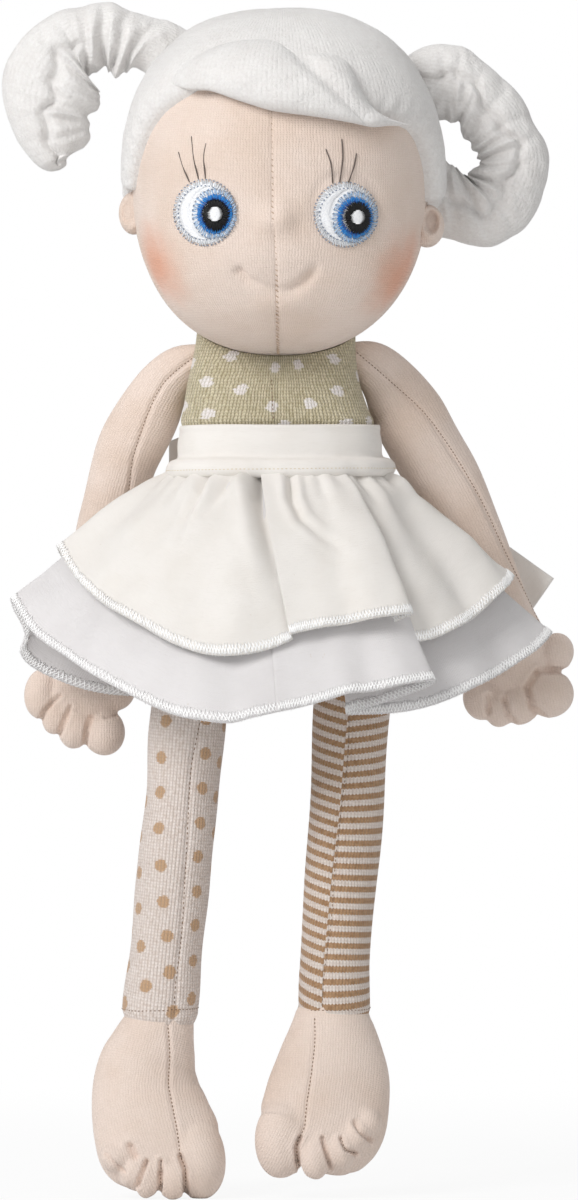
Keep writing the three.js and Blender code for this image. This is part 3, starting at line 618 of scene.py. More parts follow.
# The depth of an oval's front at each (x, z).
def ovalFront(look, x, z, extra=0):
    halfX, halfY, halfZ = np.array(look["half"]) + extra
    centreX, centreY, centreZ = look["centre"]
    power = look["power"]
    left = 1 - np.abs((x - centreX) / halfX) ** power - np.abs((z - centreZ) / halfZ) ** power
    return centreY - halfY * np.clip(left, 0.0005, 1) ** (1 / power)


# How far the front of the stuffed face stands out, for places (x, z) of the picture plane.
def faceRelief(x, z):
    seam, along = pathDistance(x, z, headLook["seam"])
    lines, share = pathDistance(x, z, headLook["mouth"])
    relief = mounds(x, z, headLook["forms"]) - bump(lines, 1.5) * np.interp(share, *headLook["mouthDepth"])
    relief += np.sin(along * 230) * bump(seam, 1.3) * 0.09 - 0.4 * bump(seam, 0.5) - 0.35 * bump(seam, 3)
    for eye in eyes.values():
        patchX, patchZ, halfX, halfZ = eye["patch"]
        around = np.hypot((x - patchX) / halfX, (z - patchZ) / halfZ)
        relief -= 0.5 * bump((around - 1.03) * 9, 1.6)
    return relief


def faceDepth(x, z):
    return ovalFront(headLook, x, z) - faceRelief(x, z)


# The place on the face seen at (x, z) of the picture plane, lifted outwards.
def onFace(x, z, lift=0):
    x, z = np.asarray(x, float), np.asarray(z, float)
    x, z = facing(x, z, ovalFront(headLook, x, z))
    step = 0.3
    slopeX = (faceDepth(x + step, z) - faceDepth(x - step, z)) / (2 * step)
    slopeZ = (faceDepth(x, z + step) - faceDepth(x, z - step)) / (2 * step)
    size = np.sqrt(slopeX ** 2 + slopeZ ** 2 + 1)
    lift = lift / size
    return np.stack([x + slopeX * lift, faceDepth(x, z) - lift, z + slopeZ * lift], axis=-1)


def headPlace(u, v):
    directions = ballDirections(u * turn + 0.45 * np.sin(u * turn), v)
    points = ovalPoint(headLook, directions)
    front = smoothStep(-0.05, -0.45, directions[:, 1])
    relief = faceRelief(points[:, 0], points[:, 2]) * front + unevenness(points, 40, 3) * 0.25
    return points + directions * relief[:, None]


head = surface("headSkin", headLook["around"], headLook["up"], headPlace, faceJersey, closed=True,
               outwards=headLook["centre"])
wrapRound(head, headLook["wrap"], headLook["centre"])
dress(head, "head", "jersey", "head_cover", "head_filling")
seamLine = [onFace(x, z, 0.1) for x, z in smoothPath(headLook["seam"], np.linspace(0, 1, 160))]
seamSkew = [(start + (-0.5, 0, 0.25), end + (0.5, 0, -0.25))
            for start, end in stitchPairs(seamLine, 1.8, 0.12)]
dress(stitches("faceSeam", seamSkew, 0.19, threads["paleThread"]), "head", "white_thread")


# Eyes: a satin patch with rings of real stitches. Every lift is above the patch, which rises off the face.

eyeLook = {"rise": 0.75, "seeds": {"right": 5, "left": 9}, "satinShare": 0.84}
eyeRings = {  # ellipse, thread, slot, radius, and inner, outer, count, lift, seed and wander of each ring
    "eyeRim": ("patch", "rimThread", "white_thread", 0.27, [(0.86, 1.02, 84, -0.25, 0, 0.04)]),
    "eyeHalo": ("iris", "paleBlueThread", "blue_thread", 0.22, [(0.98, 1.26, 60, 0.1, 1, 0.06)]),
    "eyeDots": ("patch", "dotThread", "blue_thread", 0.21, []),
    "eyeIris": ("iris", "irisThread", "blue_thread", 0.27, [(0.7, 1.0, 76, 0.28, 2, 0.04)]),
    "eyeDeep": ("iris", "deepThread", "blue_thread", 0.22, [(0.66, 0.86, 50, 0.38, 3, 0.04)]),
    "eyePupil": ("pupil", "blackThread", "black_thread", 0.29,
                 [(0.16, 0.98, 62, 0.55, 4, 0.04), (0.45, 1.0, 40, 0.62, 5, 0.04)])}
eyeNodes = {"eyeIris": "iris_", "eyePupil": "pupil_"}
# Dots round the patch and the iris: ellipse, count, share at either end, lift, and turn from end to end.
eyeDots = [("patch", 50, 1.03, 1.03, -0.43, 0.05), ("patch", 42, 0.84, 0.84, 0.1, 0.05),
           ("iris", 34, 1.22, 1.24, 0.32, 0.07)]


def eyeSpot(ellipse, angle, share, lift):
    centreX, centreZ, halfX, halfZ = ellipse
    return onFace(centreX + halfX * share * math.cos(angle),
                  centreZ + halfZ * share * math.sin(angle), lift)


# Stitches that run outwards between two rings of an ellipse.
def ringStitches(ellipse, inner, outer, count, lift, seed, wander):
    random = np.random.default_rng(seed)
    pairs = []
    for step in range(count):
        angle = (step + random.uniform(-0.3, 0.3)) / count * turn
        low, high = inner + random.uniform(-wander, wander), outer + random.uniform(-wander, wander)
        raised = lift + random.uniform(0, 0.1)
        pairs.append((eyeSpot(ellipse, angle, low, raised), eyeSpot(ellipse, angle + 0.04, high, raised)))
    return pairs


# Satin stitches side by side, level, over a whole ellipse.
def satinStitches(ellipse, pitch, lift, seed, length):
    random = np.random.default_rng(seed)
    centreX, centreZ, halfX, halfZ = ellipse
    pairs = []
    for z in np.arange(-halfZ + pitch / 2, halfZ, pitch):
        half = halfX * math.sqrt(max(1 - (z / halfZ) ** 2, 0))
        starts = np.arange(-half, half - 0.3, length) + random.uniform(-0.2, 0.2)
        for start in starts:
            end = min(start + length * 0.97, half)
            raised = lift + random.uniform(0, 0.06)
            pairs.append((onFace(centreX + start, centreZ + z, raised),
                          onFace(centreX + end, centreZ + z + 0.12, raised)))
    return pairs


def patchPlace(eye):
    centreX, centreZ, halfX, halfZ = eye["patch"]

    def place(u, v):
        angle = u * turn
        x = centreX + halfX * v * np.cos(angle)
        z = centreZ + halfZ * v * np.sin(angle)
        lift = eyeLook["rise"] * np.clip(1 - v ** 5, 0, 1) ** 0.5 - 0.25 * smoothStep(0.97, 1, v)
        return onFace(x, z, lift)

    return place


def dotStitches(eye):
    pairs = []
    for ellipse, count, low, high, lift, reach in eyeDots:
        lift += eyeLook["rise"]
        for angle in np.arange(count) / count * turn:
            pairs.append((eyeSpot(eye[ellipse], angle, low, lift),
                          eyeSpot(eye[ellipse], angle + reach, high, lift)))
    return pairs


def makeEye(side, eye):
    rise, seed = eyeLook["rise"], eyeLook["seeds"][side]
    white = threads["whiteThread"]
    patch = surface("eyePatch_" + side, 96, 24, patchPlace(eye), white, (0.05, 0.01))
    dress(patch, "head", "white_thread", "eye_white_" + side)
    centreX, centreZ, halfX, halfZ = eye["patch"]
    satin = (centreX, centreZ, halfX * eyeLook["satinShare"], halfZ * eyeLook["satinShare"])
    satinPairs = satinStitches(satin, pitch=0.3, lift=rise - 0.05, seed=seed, length=3.4)
    dress(stitches("eyeWhite_" + side, satinPairs, 0.19, white), "head", "white_thread")
    for name, (ellipse, thread, slot, radius, rings) in eyeRings.items():
        pairs = dotStitches(eye) if name == "eyeDots" else []
        for inner, outer, count, lift, extra, wander in rings:
            pairs += ringStitches(eye[ellipse], inner, outer, count, rise + lift, seed + extra, wander)
        nodes = [eyeNodes[name] + side] if name in eyeNodes else []
        dress(stitches(f"{name}_{side}", pairs, radius, threads[thread]), "head", slot, *nodes)
    glintPairs = satinStitches(eye["glint"], pitch=0.34, lift=rise + 1.05, seed=seed + 6, length=9)
    dress(stitches("eyeGlint_" + side, glintPairs, 0.24, white), "head", "white_thread", "glint_" + side)


def lashPlace(points):
    spots = [onFace(x, z, 0.12) for x, z in points]
    radii = (0.17, 0.2, 0.2)
    return tubePlace([(*spot, radius, radius) for spot, radius in zip(spots, radii)], caps=0.02)


for side, eye in eyes.items():
    makeEye(side, eye)
    for number, points in enumerate(eye["lashes"], 1):
        lash = surface(f"lashThread_{side}_{number}", 8, 24, lashPlace(points), threads["lashThread"],
                       closed=True)
        dress(lash, "head", "lash_thread", f"lash_{side}_{number}")
print("head and eyes made")


# Hair: a velour cap, a stuffed fringe and two gathered pigtails. The cap's edge is rolled over a width
# and turns in under itself from tuckAt on; radius is the cap's mean one, wrap that of its UV map.

capLook = {
    "centre": (0.9, -11, 78.2), "half": (48.7, 46.5, 53.5), "power": 2.4, "around": 260, "down": 130,
    "crown": (0, 0.613, 0.79), "hairline": (0, -48, 106.2), "wrap": 42, "radius": 45, "rolled": 5.5,
    "tuckAt": 0.93,
    "edge": [(-42.7, 77.5), (-41.9, 82.5), (-40.4, 88.2), (-38, 93.8), (-34, 99), (-27.2, 103.4),
        (-20.6, 107), (-12, 106.6), (-3, 103.6), (14.5, 100), (26, 97), (33.6, 95.4), (37.4, 94),
        (39.8, 91), (41.8, 86), (42.7, 81), (43, 74)]}


# Directions that fall away from the crown by an angle, for turns about the crown line.
def crownDirections(fall, turns):
    crown = np.array(capLook["crown"])
    front = np.cross((1.0, 0, 0), crown)
    return (crown * np.cos(fall)[:, None] + np.array((1.0, 0, 0)) * (np.sin(fall) * np.sin(turns))[:, None]
            + front * (np.sin(fall) * np.cos(turns))[:, None])


# How far down from the crown the cap reaches: to the hairline, and at the face to its own edge.
def capReach(turns):
    crown = np.array(capLook["crown"])
    low, high = np.full(len(turns), 0.5), np.full(len(turns), 2.6)
    for _ in range(30):
        middle = (low + high) / 2
        points = ovalPoint(headLook, crownDirections(middle, turns))
        above = (points - np.array(capLook["hairline"])) @ crown > 0
        low, high = np.where(above, middle, low), np.where(above, high, middle)
    around = (turns + math.pi) % turn - math.pi
    x, z = np.array(capLook["edge"]).T
    spots = unit(np.stack([x, ovalFront(headLook, x, z), z], axis=1) - headLook["centre"])
    edgeTurns = np.arctan2(spots[:, 0], spots @ np.cross((1.0, 0, 0), crown))
    begin, finish = edgeTurns[0], edgeTurns[-1]
    given = smoothStep(begin - 0.25, begin, around) * smoothStep(finish + 0.25, finish, around)
    return low * (1 - given) + np.interp(around, edgeTurns, np.arccos(spots @ crown)) * given


def capPlace(u, v):
    turns = u * turn + math.pi
    reach = capReach(turns)
    tuckAt = capLook["tuckAt"]
    share, tuck = np.clip(v / tuckAt, 0, 1), np.clip((v - tuckAt) / (1 - tuckAt), 0, 1)
    directions = crownDirections(reach * share, turns)
    outer = ovalPoint(capLook, directions)
    inner = ovalPoint(headLook, directions, -0.3)
    edge = np.clip(reach * (1 - share) * capLook["radius"] / capLook["rolled"], 0, 1)
    rolled = np.sqrt(1 - (1 - edge) ** 2) * 0.9 + 0.1 * edge
    puckers = 1 + 0.22 * np.sin(turns * 58) * bump(edge, 0.55)
    points = inner + (outer - inner) * (0.34 + 0.66 * rolled * puckers)[:, None]
    points = points + (inner - points) * tuck[:, None]
    fold = unevenness(points, 34, 11) * 0.5 + unevenness(points, 12, 12) * 0.12
    return points + directions * (fold * edge * (1 - tuck))[:, None]


cap = surface("hairCap", capLook["around"], capLook["down"], capPlace, velour, closed=True,
              outwards=capLook["centre"])
wrapRound(cap, capLook["wrap"], capLook["centre"])
dress(cap, "head", "velour", "hair_cap")
hairEdge = capPlace(np.linspace(0, 1, 300), np.full(300, 0.915))
hairFoot = ovalPoint(headLook, unit(hairEdge - headLook["centre"]), 0.15)
hairPairs = []
for start, end in stitchPairs(hairFoot, 1.7, 0.12):
    outward = unit(start[None] - headLook["centre"])[0]
    hairPairs.append((start + outward * 0.1 - (0, 0, 0.7), end + outward * 0.5 + (0, 0, 0.5)))
dress(stitches("hairlineStitches", hairPairs, 0.16, threads["hemThread"]), "head", "white_thread")

fringeLook = {
    "top": [(-34.5, 111.6), (-29.3, 115.6), (-26, 117.8), (-18.3, 121.4), (-9.6, 123), (-1.5, 122.6),
        (3, 119.9), (6.9, 118.8), (14.5, 118.8), (19.5, 116.8), (22.2, 112.8), (24.4, 107.8),
        (27.4, 103.2), (32, 99.8), (38.5, 97.6)],
    "bottom": [(-34.5, 111), (-30.4, 108.9), (-26, 107.9), (-21, 107.7), (-13.9, 105.3), (-8, 103.4),
        (-3, 101.9), (2, 101.1), (6.9, 100.5), (14.5, 99.4), (19, 98.6), (22.2, 98), (27.7, 96.9),
        (33.2, 97.3), (38.5, 97)],
    "valley": [(2.2, 124), (6, 117.2), (11, 112.5), (17, 107), (24.5, 100)], "height": 8.2,
    "fullness": ([0, 0.05, 0.14, 0.3, 0.5, 0.72, 0.9, 1], [0.06, 0.3, 0.62, 0.92, 1, 0.95, 0.68, 0.34]),
    "lobes": [(0.9, 15, 113.5, 5.5, 1, 1), (-1.1, -22, 111, 5, 1, 1), (0.7, -2, 116, 8, 1, 1)]}


def fringePlace(u, v):
    top, bottom = smoothPath(fringeLook["top"], u), smoothPath(fringeLook["bottom"], u)
    angle = v * turn
    across = (1 - np.cos(angle)) / 2
    x, z = (top + (bottom - top) * across[:, None]).T
    front = np.clip(np.sin(angle), 0, 1)
    body = np.interp(u, *fringeLook["fullness"])
    valley, along = pathDistance(x, z, fringeLook["valley"])
    beyond = x + 0.95 * (z - 110) > 13.5
    crease = (1 - 0.75 * along) * bump(valley, np.where(beyond, 3.4, 1.6))
    height = fringeLook["height"] * body * (0.35 * front ** 0.5 + 0.65 * front ** 0.9)
    lobes = mounds(x, z, fringeLook["lobes"])
    height = height + (lobes - 4.4 * crease) * np.minimum(front * 2, 1) * body
    ripples = unevenness(np.stack([x, x * 0, z], 1), 11, 21) * 0.3 * front
    x, z = facing(x, z, ovalFront(capLook, x, z))
    base = np.minimum(ovalFront(capLook, x, z, -1.2), ovalFront(headLook, x, z) - 0.4)
    back = 1.6 * np.clip(-np.sin(angle), 0, 1) ** 0.5
    return np.stack([x, base - height - ripples + back, z], axis=1)


fringe = surface("hairFringe", 200, 120, fringePlace, velour, closed=True)
wrapRound(fringe, capLook["wrap"], capLook["centre"])
dress(fringe, "head", "velour", "hair_fringe", fill=0.8)

# Each pigtail lies between an outer and an inner edge of (x, z); depth is its half-depth there. A fold
# has a place, depth, width and lean; gather is where the drawn-in seam begins and ends.
pigtails = {
    "right": {
        "outer": [(-22.5, 122.4), (-27.6, 126), (-33.4, 129), (-38.6, 130.4), (-43.3, 131.7),
            (-46.8, 132.8), (-50.9, 134.8), (-55.3, 134.5), (-59.4, 133.4), (-64.8, 132.6), (-70.3, 130),
            (-75.2, 126.2), (-79.4, 121.3), (-82.4, 116.4), (-83.7, 110.4), (-83.1, 104.3), (-81.6, 98.9),
            (-79.1, 93.2), (-75.8, 88.5), (-73, 85.5), (-70.9, 84.2), (-68.9, 83.8), (-67.6, 84)],
        "inner": [(-29.5, 106.5), (-36, 110.4), (-43.3, 115), (-46.2, 113.6), (-48.4, 112.4),
            (-50.8, 113.5), (-52.3, 114.7), (-55.3, 114), (-57.8, 112.3), (-58.2, 110.7), (-55.8, 109.6),
            (-54.6, 108.2), (-54, 106.3), (-54.7, 104.1), (-55.8, 102.2), (-58, 100.2), (-57.1, 97.6),
            (-57.7, 93.9), (-59, 91.2), (-61.6, 89.6), (-63.9, 88.2), (-64.3, 85.8), (-65.9, 84.2)],
        "depth": [5, 5.6, 6.4, 7, 7.6, 8, 8.4, 8.6, 8.8, 9, 9.2, 9.4, 9.6, 9.6, 9.4, 9, 8.6, 8, 7.2, 6,
            4.6, 3, 1.6],
        "folds": [(0.14, 2.6, 0.02, 0.6), (0.215, 2.2, 0.018, 0.3), (0.292, 3.4, 0.018, -0.2),
            (0.36, 1.5, 0.014, 0.3), (0.43, 1.0, 0.013, -0.5), (0.5, 1.1, 0.014, 0.4),
            (0.58, 0.9, 0.014, -0.3), (0.67, 0.9, 0.014, 0.4), (0.77, 0.8, 0.014, -0.4)],
        "gather": (0.36, 0.93), "seamAt": 0.0, "seed": 31},
    "left": {
        "outer": [(33, 113.5), (37.6, 117.8), (42, 120.6), (47.4, 122.1), (52.3, 121.9), (56.7, 120.5),
            (61.1, 116.9), (66, 112.6), (70.9, 108.2), (74.2, 103.2), (76.1, 98.3), (79.1, 93.9),
            (80.8, 89), (80.8, 83.5), (79.1, 77.5), (77, 72), (73.7, 66.9), (69.3, 63.8), (63.8, 61.2),
            (57.8, 61.6), (51.8, 63.3), (46.8, 64.4), (42, 66)],
        "inner": [(35.5, 106), (38.8, 105.6), (41.9, 103.8), (45.7, 101.3), (49, 99.3), (51.8, 98.8),
            (54.2, 98), (54.8, 95.8), (55.7, 93.4), (57.5, 91.4), (59, 89.7), (60, 87.9), (59.9, 86.2),
            (58.6, 84.6), (57.2, 83.4), (56.1, 82.6), (55, 82.7), (54.2, 83.5), (53.1, 84.9),
            (51.6, 86.1), (49.4, 86.6), (46.8, 85.7), (43, 83.5)],
        "depth": [4.6, 5.8, 7, 7.8, 8.2, 8.4, 8.6, 8.6, 8.6, 8.6, 8.6, 8.6, 8.8, 9, 9, 9, 8.8, 8.8, 8.6,
            8.2, 7.6, 6.8, 6],
        "folds": [(0.09, 1.2, 0.014, 0.4), (0.15, 1.5, 0.014, -0.4), (0.21, 1.2, 0.013, 0.4),
            (0.28, 1.4, 0.013, -0.3), (0.35, 1.2, 0.014, 0.4), (0.42, 1.3, 0.013, -0.4),
            (0.5, 1.2, 0.014, 0.3), (0.58, 1.4, 0.014, -0.3), (0.66, 1.3, 0.014, 0.4),
            (0.74, 1.5, 0.014, -0.4), (0.82, 1.3, 0.014, 0.3), (0.9, 1.1, 0.014, -0.3)],
        "gather": (0.02, 0.92), "seamAt": -0.1, "seed": 37}}
pigtailMiddle = 5  # how far behind the picture plane the pigtails hang


# Folds run across; a drawn-in seam follows the ring, with small puffs inside of it.
def pigtailPlace(look):
    rows = [(k, 0, 0, *outer, *inner, depth)
            for k, (outer, inner, depth) in enumerate(zip(look["outer"], look["inner"], look["depth"]))]
    begin, finish = look["gather"]
    seed = look["seed"]

    def place(u, v):
        line = smoothLine(rows, v)
        outer, inner, depth = line[:, 3:5], line[:, 5:7], line[:, 7]
        cos, sin = np.cos(u * turn), np.sin(u * turn)
        middle, half = (outer + inner) / 2, (outer - inner) / 2
        size = np.linalg.norm(half, axis=1)
        ends = np.sqrt(np.clip(np.minimum(v, 1 - v) / 0.03, 0, 1))
        inward = -cos
        change = np.zeros(len(u))
        for where, deep, width, lean in look["folds"]:
            run = v - where - lean * 0.045 * inward + 0.008 * np.sin(3 * u * turn + where * 40)
            beside = bump(run - width * 1.9, width) + bump(run + width * 1.9, width)
            change += deep * (0.4 * beside - bump(run, width)) * (0.55 + 0.45 * inward)
        gather = smoothStep(begin - 0.03, begin + 0.04, v) * smoothStep(finish + 0.03, finish - 0.05, v)
        seamAt = look["seamAt"] + 0.16 * np.sin(v * 23 + seed) + 0.08 * np.sin(v * 61)
        change -= 2.2 * gather * bump((inward - seamAt) * 10, 1.3)
        puffs = np.sin(v * 66 + seed + 1.5 * np.sin(v * 27) + sin * 1.2)
        change += gather * smoothStep(seamAt, seamAt + 0.3, inward) * (puffs + 0.3)
        across = half * cos[:, None]
        x, z = (middle + across).T
        spots = np.stack([x, pigtailMiddle - depth * sin, z], 1)
        change += unevenness(spots, 14, seed) * 0.35 + unevenness(spots, 4.5, seed + 1) * 0.16
        wide = (size + change * (0.35 + 0.65 * np.abs(sin))) / size * ends
        x, z = (middle + across * wide[:, None]).T
        return np.stack([x, pigtailMiddle - (depth + change) * ends * sin, z], axis=1)

    return place


for side, look in pigtails.items():
    middles = [((a + c) / 2, 0, (b + d) / 2) for (a, b), (c, d) in zip(look["outer"], look["inner"])]
    piece = surface("pigtailSkin_" + side, 130, 260, pigtailPlace(look), velour,
                    (0.06, lineLength(middles) * mm), closed=True)
    dress(piece, "pigtail_" + side, "velour", "pigtail_" + side, fill=0.5)

earLook = {
    "right": {
        "centre": (-43.6, -13.5, 70.4), "half": (4.5, 4.6, 6.4), "rim": (-44.8, 70.4), "facing": -1,
        "deep": 1.0},
    "left": {
        "centre": (43.8, -17, 66.4), "half": (5.2, 5.6, 6.4), "rim": (45, 67.6), "facing": 1, "deep": 3.2}}


def earPlace(look):
    def place(u, v):
        directions = ballDirections(u * turn, v)
        points = np.array(look["centre"]) + directions * look["half"]
        front = smoothStep(0.1, -0.6, directions[:, 1])
        rimX, rimZ = look["rim"]
        bowl = np.hypot((points[:, 0] - rimX) / 2.1, (points[:, 2] - rimZ) / 3.3)
        points[:, 1] += front * (look["deep"] * smoothStep(1.25, 0.7, bowl) - 0.6 * bump(bowl - 1.5, 0.35))
        points[:, 1] += front * 0.9 * smoothStep(0, 1, look["facing"] * (points[:, 0] - rimX) / 5 + 0.2)
        return points

    return place


for side, look in earLook.items():
    ear = surface("earSkin_" + side, 64, 48, earPlace(look), jersey, closed=True, outwards=look["centre"])
    wrapRound(ear, 6, look["centre"])
    dress(ear, "head", "jersey", "ear_" + side, fill=0.6)
print("hair made")


# Neck and bodice: stations are rows of (x, y, z, half-width, half-depth).

bodiceLook = {
    "stations": [(0, 0, -50, 20, 9), (0, 0, -47, 25, 13), (0, 0, -40, 30, 18), (0, 0, -30, 31, 18.5),
        (0, 1, -15, 29, 17.5), (0, 0.5, 0, 28.2, 19), (-1, 0.5, 10, 28, 20), (-1.6, 1.5, 20, 26, 18.2),
        (-1.4, 2.6, 30, 24.2, 15), (-1.2, 3.2, 37, 23.6, 12.4)],
    "dots": [(-14.4, 27.9), (-1.5, 24.3), (5.4, 25.2), (15.9, 27), (-21.9, 20.1), (-11.7, 17.7),
        (16.8, 17.4), (-2.4, 12.6), (8.7, 13.5), (-21.6, 10.5), (24.5, 22), (1.6, 7), (26, 8.5),
        (19, 7.5), (-28, 13), (-27, 26)], "seam": [(-0.9, 30), (-0.6, 18), (-0.3, 6)], "radius": 26}
oliveLook = {"colour": srgb(225, 215, 187), "shade": srgb(203, 192, 160), "hollow": srgb(138, 125, 92),
             "dots": srgb(248, 242, 241), "wale": 0.0012, "course": 0.00095, "dotHalf": (2.35, 1.65),
             "raggedness": 0.0015}
neckLook = [(0, 4, 12, 8, 8), (0, 4, 28, 7.6, 7.6), (0, 4, 45, 8, 8)]


# How low the head's underside is above each (x, y).
def headUnder(x, y):
    centreX, centreY, centreZ = headLook["centre"]
    halfX, halfY, halfZ = headLook["half"]
    power = headLook["power"]
    left = 1 - np.abs((x - centreX) / halfX) ** power - np.abs((y - centreY) / halfY) ** power
    return centreZ - halfZ * np.clip(left, 0, 1) ** (1 / power)


def bodicePlace(u, v):
    angle = u * turn
    line = smoothLine(bodiceLook["stations"], np.clip((v - 0.05) / 0.8, 0, 1))
    dish = np.clip((v - 0.85) / 0.15, 0, 1)
    shrink = np.sqrt(np.clip(v / 0.05, 0, 1)) * (1 - dish * 0.97) * squareReach(angle, 2.4)
    x = line[:, 0] + line[:, 3] * shrink * np.cos(angle)
    y = line[:, 1] + line[:, 4] * shrink * np.sin(angle)
    z = np.minimum(line[:, 2], headUnder(x, y) - 0.2)
    points = np.stack([x, y, z], axis=1)
    seam, _ = pathDistance(x, z, bodiceLook["seam"])
    swell = unevenness(points, 26, 41) * 0.4 - 0.7 * bump(seam, 0.8) * (np.sin(angle) < 0)
    swell += 0.7 * bump(z - 8.6, 2.2)
    return points + levelDirections(angle) * (swell * (1 - dish))[:, None]


# The knit's own coordinates in millimetres of a place (x, z) seen on the bodice's front.
def bodiceSpot(x, z):
    rows = np.array(bodiceLook["stations"])
    centreX, centreY, halfX, halfY = [np.interp(z, rows[:, 2], rows[:, k]) for k in (0, 1, 3, 4)]
    depth = halfY * (1 - min(abs((x - centreX) / halfX), 0.98) ** 2.4) ** (1 / 2.4)
    return math.atan2(x, depth - centreY) * bodiceLook["radius"], z


# Woven dots at (across, up) in millimetres, ragged where the coloured loops of each row end.
def dotShare(u, v, dots, half, course, raggedness):
    row = maths("FLOOR", v / course)
    jump = addNode(v.tree, "ShaderNodeTexWhiteNoise", {"W": row}, noise_dimensions="1D").outputs["Value"]
    shifted = u + (Value(jump) - 0.5) * raggedness
    level = (row + 0.5) * course
    nearest = None
    for across, up in dots:
        sideways = (shifted - across * mm) / (half[0] * mm)
        upright = (level - up * mm) / (half[1] * mm)
        reach = sideways * sideways + upright * upright
        nearest = reach if nearest is None else maths("MINIMUM", nearest, reach)
    return ramp(nearest, 1.25, 0.75)


# The dots are mirrored to the back, half a turn away.
def makeOliveKnit():
    look = oliveLook
    material, place, uv = startMaterial("oliveKnit", 0.88, 0.25)
    u, v = uvParts(uv)
    fleck, wander = noise(place, 700), noise(place, 380, 2)
    knit = knitHeight(wander * 0.0016 + u, wander * 0.0009 + v, look, 1.3)
    colour = blendColour(ramp(fleck, 0.35, 0.7), look["colour"], look["shade"])
    # Painted shade: the hollows between the knit's loops are darkened strongly.
    colour = tint(colour, knit, 0.85, 0.2, 0.72, look["hollow"])
    spots = [bodiceSpot(x, z) for x, z in bodiceLook["dots"]]
    halfTurn = math.pi * bodiceLook["radius"]
    spots += [(across - halfTurn if across > 0 else across + halfTurn, up) for across, up in spots]
    share = dotShare(u, v, spots, look["dotHalf"], look["course"] * 0.5, look["raggedness"])
    # Painted shade: the white dots also dim in the knit's hollows.
    share = maths("MULTIPLY", share, knit * 0.7 + 0.4, clamp=True)
    colour = blendColour(share, colour, look["dots"])
    return finishMaterial(material, colour, fleck * 0.35 + knit, 0.0004)


bodice = surface("bodice", 180, 200, bodicePlace, makeOliveKnit(), closed=True, outwards=(0, 0, 0))
wrapRound(bodice, bodiceLook["radius"])
dress(bodice, "torso", "olive_knit", "torso_cover", "torso_filling", fill=0.8)
seamPoints = [(x, -40, z) for x, z in smoothPath(bodiceLook["seam"], np.linspace(0, 1, 30))]
bodiceSeam = stitchPairs(lay(seamPoints, bodice, 0.05), 1.3, 0.5)
dress(stitches("bodiceSeam", bodiceSeam, 0.17, threads["seamThread"]), "torso", "olive_knit")

neck = surface("neckSkin", 48, 30, tubePlace(neckLook), jersey, (0.05, 0.035), closed=True)
dress(neck, "neck", "jersey", "neck", fill=0.9)


# Waistband: one wide folded strip round the waist, with a seam line near its lower edge

bandLook = {
    "stations": [(-8.4, 31.4, 22.6), (-8.1, 33.2, 24.7), (-6.6, 34.2, 25.9), (-4.7, 34.1, 25.8),
        (-3.2, 33.0, 24.8), (-2.4, 31.0, 22.9), (-1.4, 30.7, 22.6), (2, 30.7, 22.8), (5, 30.2, 22.4),
        (6.9, 30.2, 22.4), (7.3, 29.7, 21.9), (6.4, 29.1, 21.4), (0, 29.3, 21.4), (-6.4, 30.0, 21.4),
        (-8.4, 31.4, 22.6)]}


def bandPlace(u, v):
    angle = u * turn
    rows = smoothLine([(x, y, z) for z, x, y in bandLook["stations"]], v)
    squared = squareReach(angle, 2.2)
    tilt = 0.5 * np.cos(angle) + 0.35 * np.sin(2 * angle + 0.6) + 0.16 * np.sin(5 * angle)
    low = smoothStep(0, -7, rows[:, 2])
    points = np.stack([rows[:, 0] * np.cos(angle) * squared, rows[:, 1] * np.sin(angle) * squared,
                       rows[:, 2] + tilt * (0.4 + 0.6 * low)], axis=1)
    crease = 0.3 * np.sin(9 * angle + 1) * low + 0.15 * np.sin(23 * angle) * low
    crease += unevenness(points, 15, 51) * 0.22
    return points + levelDirections(angle) * (crease * smoothStep(0.75, 0.6, v))[:, None]


band = surface("waistbandCloth", 200, 80, bandPlace, cotton, closed=True)
wrapRound(band, 29)
dress(band, "torso", "cotton", "waistband")
bandLine = [(36 * math.cos(a), 27 * math.sin(a), -6.0 + 0.4 * math.cos(a))
            for a in np.linspace(0, turn, 220)]
bandPairs = stitchPairs(lay(bandLine, band, 0.02), 1.25, 0.5)
dress(stitches("waistbandStitches", bandPairs, 0.14, threads["bandThread"]), "torso", "white_thread")


# Skirt: two tiers, each of a right and a left half that lap in the deep pleat at the front.
# Rows run along the hem from the front to the back: across, depth, height, turn at the waist in
# degrees, and how far the waist lies inside the outermost layer.

